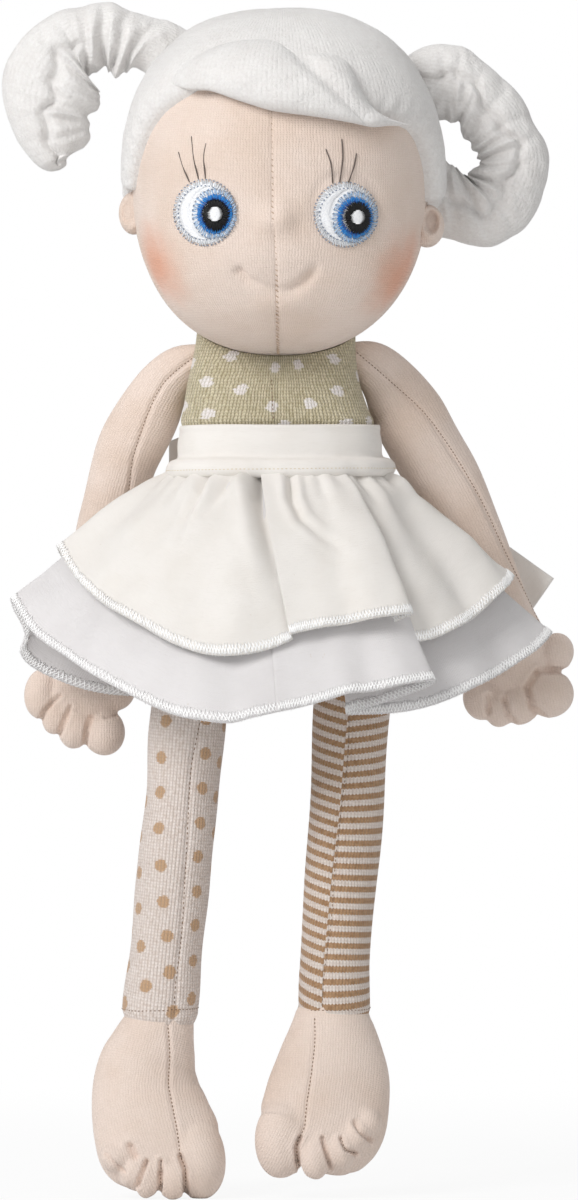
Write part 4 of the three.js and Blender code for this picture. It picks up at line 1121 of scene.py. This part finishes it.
skirtLook = {
    "upper_right": [(3.9, -45.3, -56.8, -95, 1.5), (0.8, -45.9, -58.2, -98, 1.3),
        (-6.7, -46.8, -60.8, -105, 0.5), (-15.5, -47.2, -61.9, -112, 0), (-23.2, -46, -61, -119, 0),
        (-33, -42, -57.6, -128, 0), (-41.7, -36.5, -52.7, -138, 0), (-50.5, -29, -47.8, -149, 0),
        (-57.3, -21, -42.5, -159, 0), (-62.4, -12, -37, -169, 0), (-66.6, -2, -29.4, -180, 0),
        (-65, 4, -33, -192, 0), (-57, 8.5, -40, -207, 0), (-44, 15.5, -46, -226, 0),
        (-24, 26, -50.5, -249, 0), (0, 33, -52.5, -270, 0)],
    "upper_left": [(2.9, -46.5, -55.6, -100.4, 0), (5.8, -46.6, -54.8, -96, 0),
        (10.8, -46.7, -53.8, -89, 0), (20.5, -46.8, -51.7, -79, 0), (30.2, -46.4, -50.3, -68, 0),
        (38.2, -43.6, -49.1, -57, 0.2), (39.4, -40.8, -49.6, -55, 1), (34, -38.6, -52, -59, 1.8),
        (31, -37.6, -55, -61, 2.4), (35, -37.2, -57.4, -57, 2.2), (42, -36.8, -57.6, -50, 1.2),
        (49.7, -33.4, -55.1, -42, 0.6), (57.4, -26, -50.7, -32, 0.2), (64.2, -17, -44.9, -22, 0),
        (68.8, -8, -40.3, -11, 0), (70.2, -1, -37.6, 0, 0), (67.5, 4, -38.5, 12, 0),
        (58, 8.5, -43, 27, 0), (44, 15.5, -47, 46, 0), (24, 26, -50.5, 69, 0), (0, 33, -52.5, 90, 0)],
    "lower_right": [(5.6, -48.6, -77.2, -94, 2.9), (3, -49, -77.8, -98, 2.7),
        (-6.7, -49.9, -80.2, -106, 2.1), (-16.4, -50.2, -81.7, -113, 2), (-28.1, -48.5, -80.4, -122, 2),
        (-37.8, -44, -77, -131, 2), (-47.5, -37, -72.1, -140, 2), (-57.3, -28, -66.8, -150, 2),
        (-64.5, -19, -61.8, -159, 2), (-73.6, -8, -55.4, -169, 2), (-77.6, -3, -49.8, -176, 2),
        (-80.2, -0.5, -45.6, -181, 2), (-79.4, 1.2, -48.5, -184, 2), (-76.2, 3.2, -55.5, -188, 2),
        (-78, 5.6, -61, -193, 2), (-74, 8.5, -65.6, -200, 2), (-58.5, 13, -72.2, -216, 2),
        (-40, 20, -74, -235, 2), (-20, 27.5, -74, -253, 2), (0, 31, -74, -270, 2)],
    "lower_left": [(-1, -50, -78.7, -100.4, 1.9), (5.4, -49.6, -77.4, -95, 1.9),
        (13.7, -49.2, -75.3, -88, 2), (20.5, -48.9, -73.2, -80, 2), (30.2, -47.6, -71.7, -69, 2),
        (39.9, -45, -70.2, -58, 2), (46, -41.4, -69.3, -52, 2.2), (44.5, -38.6, -71, -53, 2.6),
        (34, -36.6, -75, -60, 3.2), (22, -35.6, -78.4, -65, 3.8), (20, -34.6, -79.4, -65, 4),
        (27, -35, -79.4, -60, 3.8), (35.1, -36, -79, -54, 3.2), (44.8, -34.4, -77, -46, 2.6),
        (54.5, -29, -73.1, -36, 2.2), (64.2, -21, -68.2, -26, 2), (72, -13, -63.4, -16, 2),
        (78.4, -5, -58.8, -7, 2), (81.6, 0.5, -54.8, 0, 2), (79.5, 4, -57.5, 9, 2), (72, 8.5, -63, 22, 2),
        (58, 13, -69.5, 36, 2), (40, 20, -73.5, 55, 2), (20, 27.5, -74, 73, 2), (0, 31, -74, 90, 2)]}
waistHalf = (33.0, 24.9)
# Folds seen from the front: a path of (x, z), a depth, a width, and how much of it is left at its end.
# The first one of each tier is the pleat, which the right half alone has.
skirtFolds = {
    "upper": [([(-6, -6), (-5.6, -14.6), (-4.8, -20), (-3.5, -26.4), (-1.8, -34), (0.2, -44),
        (1.6, -52)], 6.6, 2.5, 0),
        ([(-11, -7), (-14.6, -10.2), (-18.2, -15.1), (-21.3, -20.8)], 3.2, 1.1, 0.1),
        ([(-19.6, -7), (-21.3, -9.3), (-22.6, -14.6), (-26.6, -21.7), (-28, -28)], 3.2, 1.1, 0.1),
        ([(-27, -7), (-31, -13), (-36, -21)], 2.0, 1.5, 0.1),
        ([(2.6, -7), (3, -10.2), (3.4, -16.4), (6.1, -22.6), (11, -26.6), (17.6, -30.5)], 3.2, 1.2, 0.1),
        ([(10.6, -7), (12, -13), (14.4, -19)], 1.6, 1.3, 0.1),
        ([(22.6, -7), (25, -13), (29, -20)], 1.8, 1.4, 0.1),
        ([(29.6, -7), (33, -13), (38, -19)], 1.6, 1.4, 0.1),
        ([(-14, -20), (-20, -36), (-24, -52)], 1.5, 5, 0.8),
        ([(-32, -20), (-42, -34), (-50, -44)], 1.3, 4.5, 0.8),
        ([(12, -18), (17, -34), (20, -50)], 1.0, 4, 0.8),
        ([(38, -18), (49, -34), (58, -48)], 1.6, 4, 0.9)],
    "lower": [
        ([(-5.6, -6), (-6.9, -14.6), (-6.2, -20), (-4.2, -26.4), (-1.6, -34), (1.2, -46)], 5.2, 3, 0),
        ([(-14, -58), (-15, -80)], 1.0, 5, 1), ([(-44, -52), (-50, -70)], 1.2, 4.5, 1),
        ([(24, -52), (27, -72)], 0.9, 4, 1), ([(58, -48), (66, -66)], 1.3, 4.5, 1)]}
tierLook = {"upper": {"seed": 77, "puff": 0.9, "backFold": 0.9, "cloth": cotton, "hemReach": 55},
            "lower": {"seed": 81, "puff": 0.55, "backFold": 0.4, "cloth": shadedCotton, "hemReach": 78}}
hemLook = {"width": 3.2, "radius": 0.23, "lift": (0.28, 0.46), "wander": 0.12}
hemCounts = {"upper_right": 150, "upper_left": 190, "lower_right": 190, "lower_left": 240}


def tierPlace(name):
    rows = []
    for x, y, z, degrees, inset in skirtLook[name]:
        if y < 0:
            x, z = facing(x, z, y)
        rows.append((x, y, z, math.radians(degrees), inset))
    tier, side = name.split("_")
    look = tierLook[tier]
    pressed = skirtFolds[tier][side == "left":]

    def place(u, v):
        line = smoothLine(rows, u)
        angle, inset = line[:, 3], line[:, 4]
        out = levelDirections(angle)
        waist = np.stack([(waistHalf[0] - 1 - inset) * out[:, 0], (waistHalf[1] - 1 - inset) * out[:, 1],
                          angle * 0 - 7.2], axis=1)
        fall = line[:, :3] - waist
        reach = (fall * out).sum(1)
        normal = unit(out * -fall[:, 2:3] + np.array((0, 0, 1)) * reach[:, None])
        points = waist + fall * v[:, None]
        front = np.clip(-out[:, 1], 0, 1)
        puff = (1.2 + 2.6 * front) * np.sin(math.pi * v ** 0.7) * look["puff"]
        gather = np.sin(angle * 23 + 2.2 * np.sin(angle * 3 + look["seed"])) * 0.85
        gather *= np.exp(-v / 0.16) * smoothStep(0, 0.04, v)
        near = smoothStep(0.1, -0.2, out[:, 1]) * (0.5 + 0.5 * smoothStep(0, 0.14, v))
        for path, depth, width, left in pressed:
            gap, share = pathDistance(points[:, 0], points[:, 2], path)
            level = depth * (left + (1 - left) * (1 - share) ** 1.5) * near
            gather += level * (0.4 * bump(gap - width * 2.1, width) - bump(gap, width))
        folds = np.sin(angle * 9 + 5 + 1.4 * np.sin(angle * 2)) * (0.5 + look["backFold"] * (1 - front))
        folds *= np.sin(math.pi * np.clip(v * 0.75 + 0.1, 0, 1))
        crumple = unevenness(points, 22, look["seed"]) * 0.45
        crumple += unevenness(points, 8, look["seed"] + 1) * 0.1
        return points + normal * (puff + gather + folds + crumple * smoothStep(0, 0.15, v))[:, None]

    return place


# Overlocked edge: slanting stitches to and fro across a hem, on both faces of the cloth.
def overlock(name, place, count, length):
    width, wander = hemLook["width"], hemLook["wander"]
    shares = np.linspace(0.002, 0.998, count)
    low, high, tilt = [place(shares, np.full(count, 1 - width * up / length)) for up in (0, 1, 0.5)]
    across = high - low
    normals = unit(np.cross(np.gradient(low, axis=0), across))
    normals *= np.sign(((tilt - (0, 0, -40)) * normals * (1, 1, 0.2)).sum(1))[:, None]
    random = np.random.default_rng(count)
    pairs = []
    for step in range(count - 2):
        for side in (1, -1):
            lifts = normals[step] * side * random.uniform(*hemLook["lift"], (2, 1))
            start, end, foot, tip = random.uniform(-wander, wander, 4)
            pairs.append((low[step] + across[step] * start + lifts[0],
                          high[step + 2] + across[step] * end + lifts[0]))
            pairs.append((high[step] + across[step] * foot + lifts[1],
                          low[step + 1] + across[step] * tip + lifts[1]))
    return stitches(name, pairs, hemLook["radius"], threads["hemThread"])


def gridLengths(points):
    return float(np.linalg.norm(np.diff(points, axis=0), axis=1).sum()) * mm


for name, hemCount in hemCounts.items():
    place = tierPlace(name)
    tier, side = name.split("_")
    steps = np.linspace(0, 1, 200)
    waistLength, hemLength = [gridLengths(place(steps, np.full(200, v))) for v in (0, 1)]
    depths = [gridLengths(place(np.full(200, u), steps)) for u in np.linspace(0.02, 0.98, 25)]
    half = surface("skirt_" + name, 200, 70, place, tierLook[tier]["cloth"], (hemLength, 0.06))
    addModifier(half, "SOLIDIFY", thickness=0.0005, offset=0.0)
    applyModifiers(half)
    hem = overlock("skirtHem_" + name, place, hemCount, tierLook[tier]["hemReach"])
    dress(half, "torso", "cotton", f"skirt_{tier}_tier")
    dress(hem, "torso", "white_thread")
    for piece in (half, hem):
        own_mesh(piece)
print("bodice, waistband and skirt made")


# Limbs: arms with hands and feet are each one stuffed skin; legs are knitted tubes.

# Where lines along +Y first meet a piece.
def castOn(piece, spots, lift=0.0):
    bpy.context.view_layer.update()
    evaluated = piece.evaluated_get(bpy.context.evaluated_depsgraph_get())
    found = []
    for x, z in spots:
        hit, place, normal, _ = evaluated.ray_cast(Vector((x, -200, z)) * mm, Vector((0, 1, 0)))
        if hit:
            found.append(np.array(place / mm) + np.array(normal) * lift)
    return np.array(found)


def addBall(bm, centre, half, tilt=0):
    place = Matrix.Translation(Vector(centre) * mm) @ Matrix.Rotation(math.radians(tilt), 4, "Y")
    bmesh.ops.create_uvsphere(bm, u_segments=28, v_segments=18, radius=1,
                              matrix=place @ Matrix.Diagonal((*[h * mm for h in half], 1)))


# One skin round a tube and several balls, smoothed where they meet.
def stuffedSkin(name, look, smoothing):
    tube = surface(name + "Tube", 64, 120, tubePlace(look["line"]), jersey, closed=True)
    bm = bmesh.new()
    bm.from_mesh(tube.data)
    bpy.data.objects.remove(tube)
    for ball in look["balls"]:
        addBall(bm, *ball)
    skin = makePiece(name, bm, jersey)
    addModifier(skin, "REMESH", mode="VOXEL", voxel_size=limbLook["voxel"] * mm)
    addModifier(skin, "SMOOTH", factor=0.5, iterations=smoothing)
    applyModifiers(skin)
    return skin


# Presses lines into the front of a skin; each line is a path of (x, z), a depth and a width.
def pressLines(piece, lines, seed):
    points, normals = readPoints(piece.data), np.empty(len(piece.data.vertices) * 3)
    piece.data.vertices.foreach_get("normal", normals)
    normals = normals.reshape(-1, 3)
    front = smoothStep(0.1, -0.35, normals[:, 1])
    change = unevenness(points, 18, seed) * 0.25
    for path, depth, width in lines:
        gap, _ = pathDistance(points[:, 0], points[:, 2], path)
        change += depth * front * (0.25 * bump(gap - width * 2.2, width * 1.4) - bump(gap, width))
    writePoints(piece.data, points + normals * change[:, None])


# A row of small stitches laid along a path of (x, z) on the front of a piece.
def seamStitches(name, piece, body, path, pitch, share, radius):
    line = castOn(piece, smoothPath(path, np.linspace(0, 1, 140)), 0.03)
    row = stitches(name, stitchPairs(line, pitch, share), radius, threads["seamThread"])
    dress(row, body, "white_thread")


# A limb has a line of (x, y, z, half-width, half-depth), balls of (centre, half sizes, tilt) for fingers
# or toes, lines pressed between them and a sewn seam.
arms = {
    "right": {
        "line": [(-21.5, 3.4, 29.7, 2.6, 3.2), (-29.6, 5.6, 25.5, 6, 5.4), (-34.6, 8.6, 20.4, 7.8, 7),
            (-39, 11.4, 12.6, 9.6, 8.8), (-44.2, 14.4, 3, 10.2, 9.4), (-47.9, 17, -6.5, 9.7, 9.2),
            (-50.9, 19.6, -17.5, 9.3, 9), (-53.6, 21.8, -28, 8.8, 8.6), (-56.6, 24.2, -41, 8.2, 8),
            (-59, 26.4, -53, 7.6, 7.2), (-60.6, 27.8, -62, 8.8, 6.6), (-60.8, 28.4, -70, 10, 6)],
        "balls": [((-72.5, 27, -73.4), (5.2, 5.6, 7.7), 8), ((-68.1, 27, -80.6), (3.9, 4.8, 5.2), 20),
            ((-62.2, 27, -83.2), (5, 5.6, 6.9), 8), ((-53.4, 27, -84.9), (6.4, 6.2, 7.2), 0),
            ((-60.4, 28, -74), (13.4, 7, 8.6), 0), ((-49.4, 28, -74), (5.8, 5, 4.6), -25)],
        "lines": [([(-66.6, -73.9), (-69.1, -76.2), (-71.2, -78.4), (-72.4, -81)], 1.1, 0.6),
            ([(-63.6, -77.3), (-65.2, -81.7), (-67.1, -85.8)], 1.1, 0.6),
            ([(-57.1, -80.6), (-58.4, -84), (-59.3, -90)], 1.1, 0.6),
            ([(-46.6, -78.8), (-49.5, -79.6), (-52.7, -80.3)], 0.9, 0.6)],
        "seam": [(-24.6, 29), (-34.5, 20.7), (-38.4, 14.1), (-44.2, -2.1), (-45.8, -14.1), (-48.6, -30),
            (-53, -48)]},
    "left": {
        "line": [(19.4, 3.4, 30, 2.6, 3.2), (27.2, 5.6, 26.2, 6.6, 5.6), (32.8, 8.8, 20.6, 8.8, 7.4),
            (38.4, 11.6, 11, 11, 9.2), (43.6, 14.4, 2, 11.3, 9.8), (48.9, 17, -7, 10.8, 9.6),
            (53.9, 19, -16, 10, 9.2), (58.4, 21, -25, 9, 8.8), (63.2, 23.2, -36.4, 8.6, 8.4),
            (68.2, 25.4, -48.6, 8.2, 7.6), (72.4, 27, -58, 8.8, 6.8), (74.2, 28, -66, 9.6, 6.2)],
        "balls": [((83.7, 26.4, -60.8), (5.2, 5.2, 5.8), 10), ((81.8, 25.4, -73.5), (7.3, 6.8, 7.1), 0),
            ((72.8, 26.2, -76.4), (5.7, 5.8, 6.4), 8), ((66.5, 27, -77.6), (4.6, 5, 6), 0),
            ((60.8, 27.4, -75.2), (5.3, 5.4, 6.2), -10), ((73.6, 28, -67.6), (12, 6.2, 8.4), 0)],
        "lines": [([(78, -66.6), (82.4, -66), (86.6, -66.6)], 1.3, 0.8),
            ([(77.6, -67), (74.7, -71.5), (76, -77), (79.6, -80)], 1.4, 0.8),
            ([(67.8, -75), (69, -79.6), (71, -81.6)], 1.2, 0.7), ([(62.7, -74), (63, -78.6)], 1.2, 0.7)],
        "seam": [(22.2, 30), (32.4, 21.3), (45, 9.3), (59.4, -12.6), (67.8, -30), (76.3, -47.1),
            (79.5, -54)]}}
feet = {
    "right": {
        "line": [(-35, 0, -158, 8.6, 8.6), (-35.6, -0.2, -166.6, 9.6, 9.6),
            (-36, -0.5, -171.3, 10.6, 10.8), (-37.8, -1, -178.4, 12.9, 12.2),
            (-39.6, -2, -185.5, 15, 12.8), (-39.9, -4, -192.6, 16.6, 12.8), (-38.3, -7, -200.4, 17.9, 12),
            (-36.2, -10, -207.4, 18.6, 10.6), (-34.6, -12.4, -212, 16.8, 8.8),
            (-33.6, -14, -214.6, 13.6, 7.2)],
        "balls": [((-49, -15.2, -211.2), (4.9, 5.4, 4.6), 35),
            ((-43.9, -16.2, -215.4), (3.3, 5, 5.1), 30), ((-39.3, -16.8, -217.6), (3.8, 5.2, 5.9), 12),
            ((-31.9, -17, -217.6), (4.5, 5.4, 6.4), 0), ((-24.4, -12.6, -211.6), (8.4, 8.8, 12.6), -6)],
        "lines": [([(-44.6, -207.6), (-43.2, -210.6)], 1.3, 1.0),
            ([(-51.8, -210), (-46.6, -215)], 0.8, 0.6),
            ([(-39.7, -212), (-41.6, -217), (-42.5, -219.4)], 1.2, 0.6),
            ([(-35.4, -211.8), (-35.6, -219), (-36.2, -223)], 1.2, 0.6),
            ([(-29.6, -210.4), (-28, -214.6), (-28, -224)], 1.2, 0.7)],
        "seam": [(-33.5, -171.5), (-32.9, -180.5), (-33.2, -189.6), (-32, -195.7), (-30.5, -203.7),
            (-29.6, -210.4), (-28.2, -214.6), (-28, -221)]},
    "left": {
        "line": [(16.2, 0, -158, 8.6, 8.6), (16.4, -0.2, -166, 9.8, 9.6), (16, -0.5, -170.6, 11.8, 11),
            (15.7, -1, -178, 14.8, 12.2), (15.1, -2.4, -187, 17.5, 12.8), (13.9, -5, -195, 18.9, 12.4),
            (12.6, -8.2, -201.6, 19, 11.2), (10.8, -11, -206.8, 17, 9.4), (9.4, -12.8, -209.6, 13.4, 7.4)],
        "balls": [((1, -12, -205.6), (8.6, 8.8, 12.2), 10), ((10.5, -16.4, -211), (4.2, 5.4, 6.6), -4),
            ((17.9, -16, -208.8), (3.9, 5.2, 5.9), -16), ((22.4, -15, -204.4), (4.1, 5.2, 4.9), -30),
            ((26.2, -12.8, -200.4), (4.0, 4.8, 4.6), -30)],
        "lines": [([(6, -205), (4.8, -208), (5.2, -212), (7, -218)], 1.3, 0.7),
            ([(12.6, -205), (13.6, -209), (15, -214)], 1.2, 0.6),
            ([(18.2, -205), (19.6, -208.4), (22.6, -210)], 1.2, 0.6),
            ([(22.4, -200.6), (24, -203.2), (27, -206.2)], 1.2, 0.7)],
        "seam": [(10.4, -170), (10.4, -177.4), (9.2, -187.2), (7.9, -195.7), (7.3, -201.8), (5.2, -206.7),
            (5.5, -212.8), (6.8, -216)]}}
# seam is a depth and a width, creases are factors on the lines, stitch is a pitch, a share and a radius.
limbLook = {"voxel": 0.55, "creaseStitch": (1.1, 0.5, 0.15),
            "arm": {"smoothing": 5, "seam": (0.55, 0.7), "creases": (1, 1), "seed": 71, "fill": 0.7,
                    "stitch": (1.15, 0.55, 0.15)},
            "foot": {"smoothing": 16, "seam": (0.5, 0.6), "creases": (1.35, 0.9), "seed": 81, "fill": 0.8,
                     "stitch": (1.2, 0.5, 0.2)}}


def makeLimb(kind, side, look):
    values = limbLook[kind]
    body = f"{kind}_{side}"
    skin = stuffedSkin(f"{kind}Skin_{side}", look, values["smoothing"])
    deeper, wider = values["creases"]
    creases = [(path, depth * deeper, width * wider) for path, depth, width in look["lines"]]
    pressLines(skin, creases + [(look["seam"], *values["seam"])], values["seed"])
    wrapAlong(skin, look["line"])
    dress(skin, body, "jersey", body, body + "_filling", fill=values["fill"])
    seamStitches(f"{kind}Seam_{side}", skin, body, look["seam"], *values["stitch"])
    if kind == "foot":
        seamStitches(f"footCreases_{side}", skin, body, look["lines"][-2][0], *limbLook["creaseStitch"])


for kind, limbs in (("arm", arms), ("foot", feet)):
    for side, look in limbs.items():
        makeLimb(kind, side, look)

legLook = {"wale": 0.0011, "course": 0.00095, "shade": srgb(224, 210, 201), "period": 3.4, "radius": 11.3,
           "dotHalf": (2.0, 1.9), "columns": 5, "seamStitch": (1.5, 0.5, 0.16), "fill": 0.8}
legs = {
    "right": {
        "line": [(-23.8, 0, -36, 9.4, 8), (-24.2, 0, -44, 11.4, 10.6), (-25, 0, -52, 11.7, 11.4),
            (-26.2, 0, -67, 11.8, 11.4), (-27.4, 0, -80, 11.7, 11.3), (-29.6, 0, -105, 11.3, 11),
            (-32, 0, -130, 11.2, 11), (-34.4, 0, -152, 11.2, 11), (-35.3, 0, -162, 11.4, 11.2),
            (-35.8, -0.2, -166.4, 11.3, 11.2), (-36, -0.3, -169, 10.9, 10.8)],
        "seam": [(-22, -70), (-24.6, -85), (-26.5, -95), (-28, -121), (-29.5, -146), (-31.2, -160),
            (-31.8, -170)],
        "dots": [(-34.3, -81.6), (-35.8, -92.6), (-36.4, -103.1), (-36.4, -113.6), (-35.7, -124.6),
            (-34.9, -135.3), (-33.8, -145.4), (-32.9, -155.8), (-32, -166.4), (-22, -90.4),
            (-22.8, -100.7), (-23.6, -110.9), (-24.4, -121), (-24.6, -131.3), (-25.1, -141.5),
            (-25.6, -152.1), (-26.4, -162.8), (-41.4, -106.3), (-42.2, -117.1), (-42.3, -127.6),
            (-42.8, -138.5), (-42, -149.3), (-40.2, -160.1), (-40, -72), (-22, -80)]},
    "left": {
        "line": [(23.8, 0, -36, 9.4, 8), (23.6, 0, -44, 11.4, 10.6), (23.3, 0, -52, 11.8, 11.4),
            (22.5, 0, -67, 11.9, 11.4), (21.6, 0, -80, 11.8, 11.3), (20.2, 0, -105, 11.3, 11),
            (18.2, 0, -130, 10.7, 10.6), (16.7, 0, -152, 10.4, 10.4), (16.4, 0, -160, 10.6, 10.6),
            (16.4, -0.2, -166.2, 10.7, 10.6), (16.4, -0.3, -168.4, 10.2, 10.2)],
        "seam": [(20.6, -75), (20.4, -90), (18.6, -105), (16.4, -125), (15.2, -142), (13.4, -155),
            (12.4, -168)]}}


# The stocking's own coordinates of a place (x, z) on its front, in metres: round it, and down it.
def legSpot(look, x, z):
    line = smoothLine(look["line"], evenShares(look["line"], np.linspace(0, 1, 400)))
    near = np.argmin(np.abs(line[:, 2] - z))
    v = 0.04 + 0.92 * near / 399
    across = np.clip((x - line[near, 0]) / line[near, 3], -0.99, 0.99)
    return (0.5 - math.asin(across) / turn) * look["girth"], v * look["length"]


# Where the coloured yarn lies. Dots are in the places the front shows, and the first column of them
# again in more places round the leg.
def dotted(look, u, v):
    spots = [legSpot(look, x, z) for x, z in look["dots"]]
    for column in range(legLook["columns"]):
        shift = look["girth"] * (110 + 40 * column) / 360
        spots += [((u0 - shift) % look["girth"], v0 + 0.0053 * (column % 2)) for u0, v0 in spots[:9]]
    spots = [(across / mm, down / mm) for across, down in spots]
    return dotShare(u, v, spots, legLook["dotHalf"], legLook["course"] * 0.5, 0.0005)


# Stripes that slope to the front seam from either side and are shifted where they meet.
def striped(look, u, v):
    (topU, topV), (lowU, lowV) = [legSpot(look, *look["seam"][end]) for end in (0, -1)]
    away = u - ((v - topV) * ((lowU - topU) / (lowV - topV)) + topU)
    outer = maths("LESS_THAN", away, 0.0)
    upper = ramp(v, look["length"] * 0.75, look["length"] * 0.3)
    rise = away * outer * (upper * 0.16 + 0.02)
    fall = maths("MAXIMUM", away, 0.0) * 0.2
    tooth = maths("ABSOLUTE", maths("FRACT", u / legLook["wale"]) - 0.5)
    level = v - rise + fall + tooth * 0.0007 + outer * (legLook["period"] * 0.4 * mm)
    return ramp(maths("SINE", level * (turn / (legLook["period"] * mm))), -0.22, 0.22)


stockings = {
    "right": {"name": "dottedKnit", "slot": "dotted_knit", "pattern": dotted, "seed": 91,
              "ground": srgb(240, 230, 224), "tone": srgb(199, 163, 128), "toneShade": srgb(199, 163, 128),
              "hollow": 0.5, "hollowTone": srgb(172, 150, 134)},
    "left": {"name": "stripedKnit", "slot": "striped_knit", "pattern": striped, "seed": 92,
             "ground": srgb(234, 224, 217), "tone": srgb(183, 147, 112), "toneShade": srgb(160, 124, 90),
             "hollow": 0.35, "hollowTone": srgb(140, 112, 88)}}


def makeStocking(stocking, look):
    material, place, uv = startMaterial(stocking["name"], 0.88, 0.25)
    u, v = uvParts(uv)
    knit = knitHeight(u, v, legLook, 0.5)
    fleck = noise(place, 900)
    mottle = ramp(fleck, 0.35, 0.7)
    ground = blendColour(mottle, stocking["ground"], legLook["shade"])
    tone = blendColour(mottle, stocking["tone"], stocking["toneShade"])
    colour = blendColour(stocking["pattern"](look, u, v), ground, tone)
    # Painted shade: the hollows between the knit's loops are darkened.
    colour = blendColour((1 - knit) * stocking["hollow"], colour, stocking["hollowTone"])
    return finishMaterial(material, colour, fleck * 0.3 + knit, 0.00026)


def legSwell(look, seed):
    def swell(u, v, points):
        gap, share = pathDistance(points[:, 0], points[:, 2], look["seam"])
        front = smoothStep(0.3, 0.4, u) * smoothStep(0.7, 0.6, u)
        change = unevenness(points, 24, seed) * 0.35 - 0.6 * bump(gap, 0.8) * front
        return change + 0.3 * bump(v - 0.955, 0.008) - 0.12 * np.sin(share * 150) * bump(gap, 1.4) * front

    return swell


# The cuff dips at the front, where it meets the instep.
def legPlace(look, seed):
    tube = tubePlace(look["line"], legSwell(look, seed), upward=(1, 0, 0))

    def place(u, v):
        points = tube(u, v)
        points[:, 2] -= 2.2 * np.clip(-np.cos(u * turn), 0, 1) * smoothStep(0.84, 0.97, v)
        return points

    return place


for side, look in legs.items():
    stocking, body = stockings[side], "leg_" + side
    look["girth"] = turn * legLook["radius"] * mm
    look["length"] = lineLength(look["line"]) / 0.92 * mm
    leg = surface("legSkin_" + side, 128, 220, legPlace(look, stocking["seed"]),
                  makeStocking(stocking, look), (look["girth"], look["length"]), closed=True)
    dress(leg, body, stocking["slot"], body, body + "_filling", fill=legLook["fill"])
    seamStitches(f"legSeam_{side}", leg, body, look["seam"], *legLook["seamStitch"])
    lowX, _, lowZ, radius, _ = look["line"][-2]
    rim = [(lowX + (radius + 3) * math.cos(a), (radius + 3) * math.sin(a), lowZ - 1.2)
           for a in np.linspace(0, turn, 120)]
    cuffPairs = stitchPairs(lay(rim, leg, 0.02), 1.3, 0.45)
    cuff = stitches(f"ankleSeam_{side}", cuffPairs, 0.17, threads["seamThread"])
    dress(cuff, body, "white_thread")
print("arms, feet and legs made")


# Bow at the back: a knot, two loops and two tails of the waistband's cloth. Rows are (x, y, z, half-width).

bowLook = {"width": 14, "thickness": 0.7, "knot": (0, 27.9, 0), "knotHalf": (6.5, 4, 6.5), "seed": 101}
bowPaths = {
    "bow_loop_right": [(-3, 27.6, 0.5, 3), (-9, 31, 1.4, 5), (-18, 33.4, 0.8, 6.8),
        (-28, 32.2, -1.8, 7.2), (-33.4, 28.8, -3.6, 6.8), (-29, 25.8, -2.6, 7), (-20, 25.2, -0.8, 6.4),
        (-10, 25.8, 0.4, 4.8), (-3, 26.6, 0.3, 3)],
    "bow_loop_left": [(3, 27.6, 0.5, 3), (9, 31, 1.6, 5), (17, 33.4, 1.4, 6.8), (25.4, 32.2, -0.8, 7.2),
        (29.4, 28.8, -2.4, 6.8), (26, 25.8, -1.6, 7), (19, 25.2, -0.2, 6.4), (10, 25.8, 0.4, 4.8),
        (3, 26.6, 0.3, 3)],
    "bow_tail_left": [(2, 29.6, -2, 4.6), (12, 33, -7, 6.4), (28, 36, -13.5, 6.8), (46, 37.8, -22, 6.4),
        (62, 38, -31, 6.2), (80, 37.4, -43.4, 6)],
    "bow_tail_right": [(-1.5, 29.6, -3, 4.4), (-4, 32.4, -13, 6.4), (-6.4, 34.8, -30, 6.8),
        (-8.4, 36, -48, 7), (-9.6, 36.2, -66, 7)]}


def ribbonPlace(rows, seed):
    def place(u, v):
        line = smoothLine(rows, v)
        ahead = smoothLine(rows, np.clip(v + 0.01, 0, 1))[:, :3] - smoothLine(
            rows, np.clip(v - 0.01, 0, 1))[:, :3]
        ahead /= np.linalg.norm(ahead, axis=1)[:, None]
        side = np.cross(ahead, (0, 1, 0))
        side = side / np.maximum(np.linalg.norm(side, axis=1), 1e-3)[:, None]
        side[:, 1] *= 0.2
        share = (u - 0.5) * 2
        points = line[:, :3] + side * (line[:, 3] * share)[:, None]
        points[:, 1] += 0.7 * np.sin(share * 2.2 + v * 7 + seed) + unevenness(points, 12, seed) * 0.3
        return points

    return place


# A loop runs out and back; its width stands upright.
def loopPlace(rows, seed):
    def place(u, v):
        line = smoothLine(rows, v)
        share = (u - 0.5) * 2
        points = line[:, :3].copy()
        points[:, 2] += line[:, 3] * share
        points[:, 1] += 0.5 * np.sin(share * 2 + v * 9 + seed) + unevenness(points, 10, seed) * 0.25
        return points

    return place


for seed, (name, rows) in enumerate(bowPaths.items(), bowLook["seed"]):
    length = lineLength([(*row[:3], 0) for row in rows]) * mm
    loop = "loop" in name
    place = loopPlace(rows, seed) if loop else ribbonPlace(rows, seed)
    ribbon = surface(name + "_cloth", 24, 120, place, cotton, (bowLook["width"] * mm, length))
    addModifier(ribbon, "SOLIDIFY", thickness=bowLook["thickness"] * mm, offset=0.0)
    applyModifiers(ribbon)
    dress(ribbon, "torso", "cotton", name)


def knotPlace(u, v):
    directions = ballDirections(u * turn, v)
    grooves = 1 + 0.07 * np.sin(directions[:, 0] * 9 + 1) * np.cos((v - 0.5) * math.pi)
    return np.array(bowLook["knot"]) + directions * (np.array(bowLook["knotHalf"]) * grooves[:, None])


knot = surface("bow_knot_cloth", 64, 48, knotPlace, cotton, (0.04, 0.02), closed=True,
               outwards=bowLook["knot"])
dress(knot, "torso", "cotton", "bow_knot")
print("bow made")
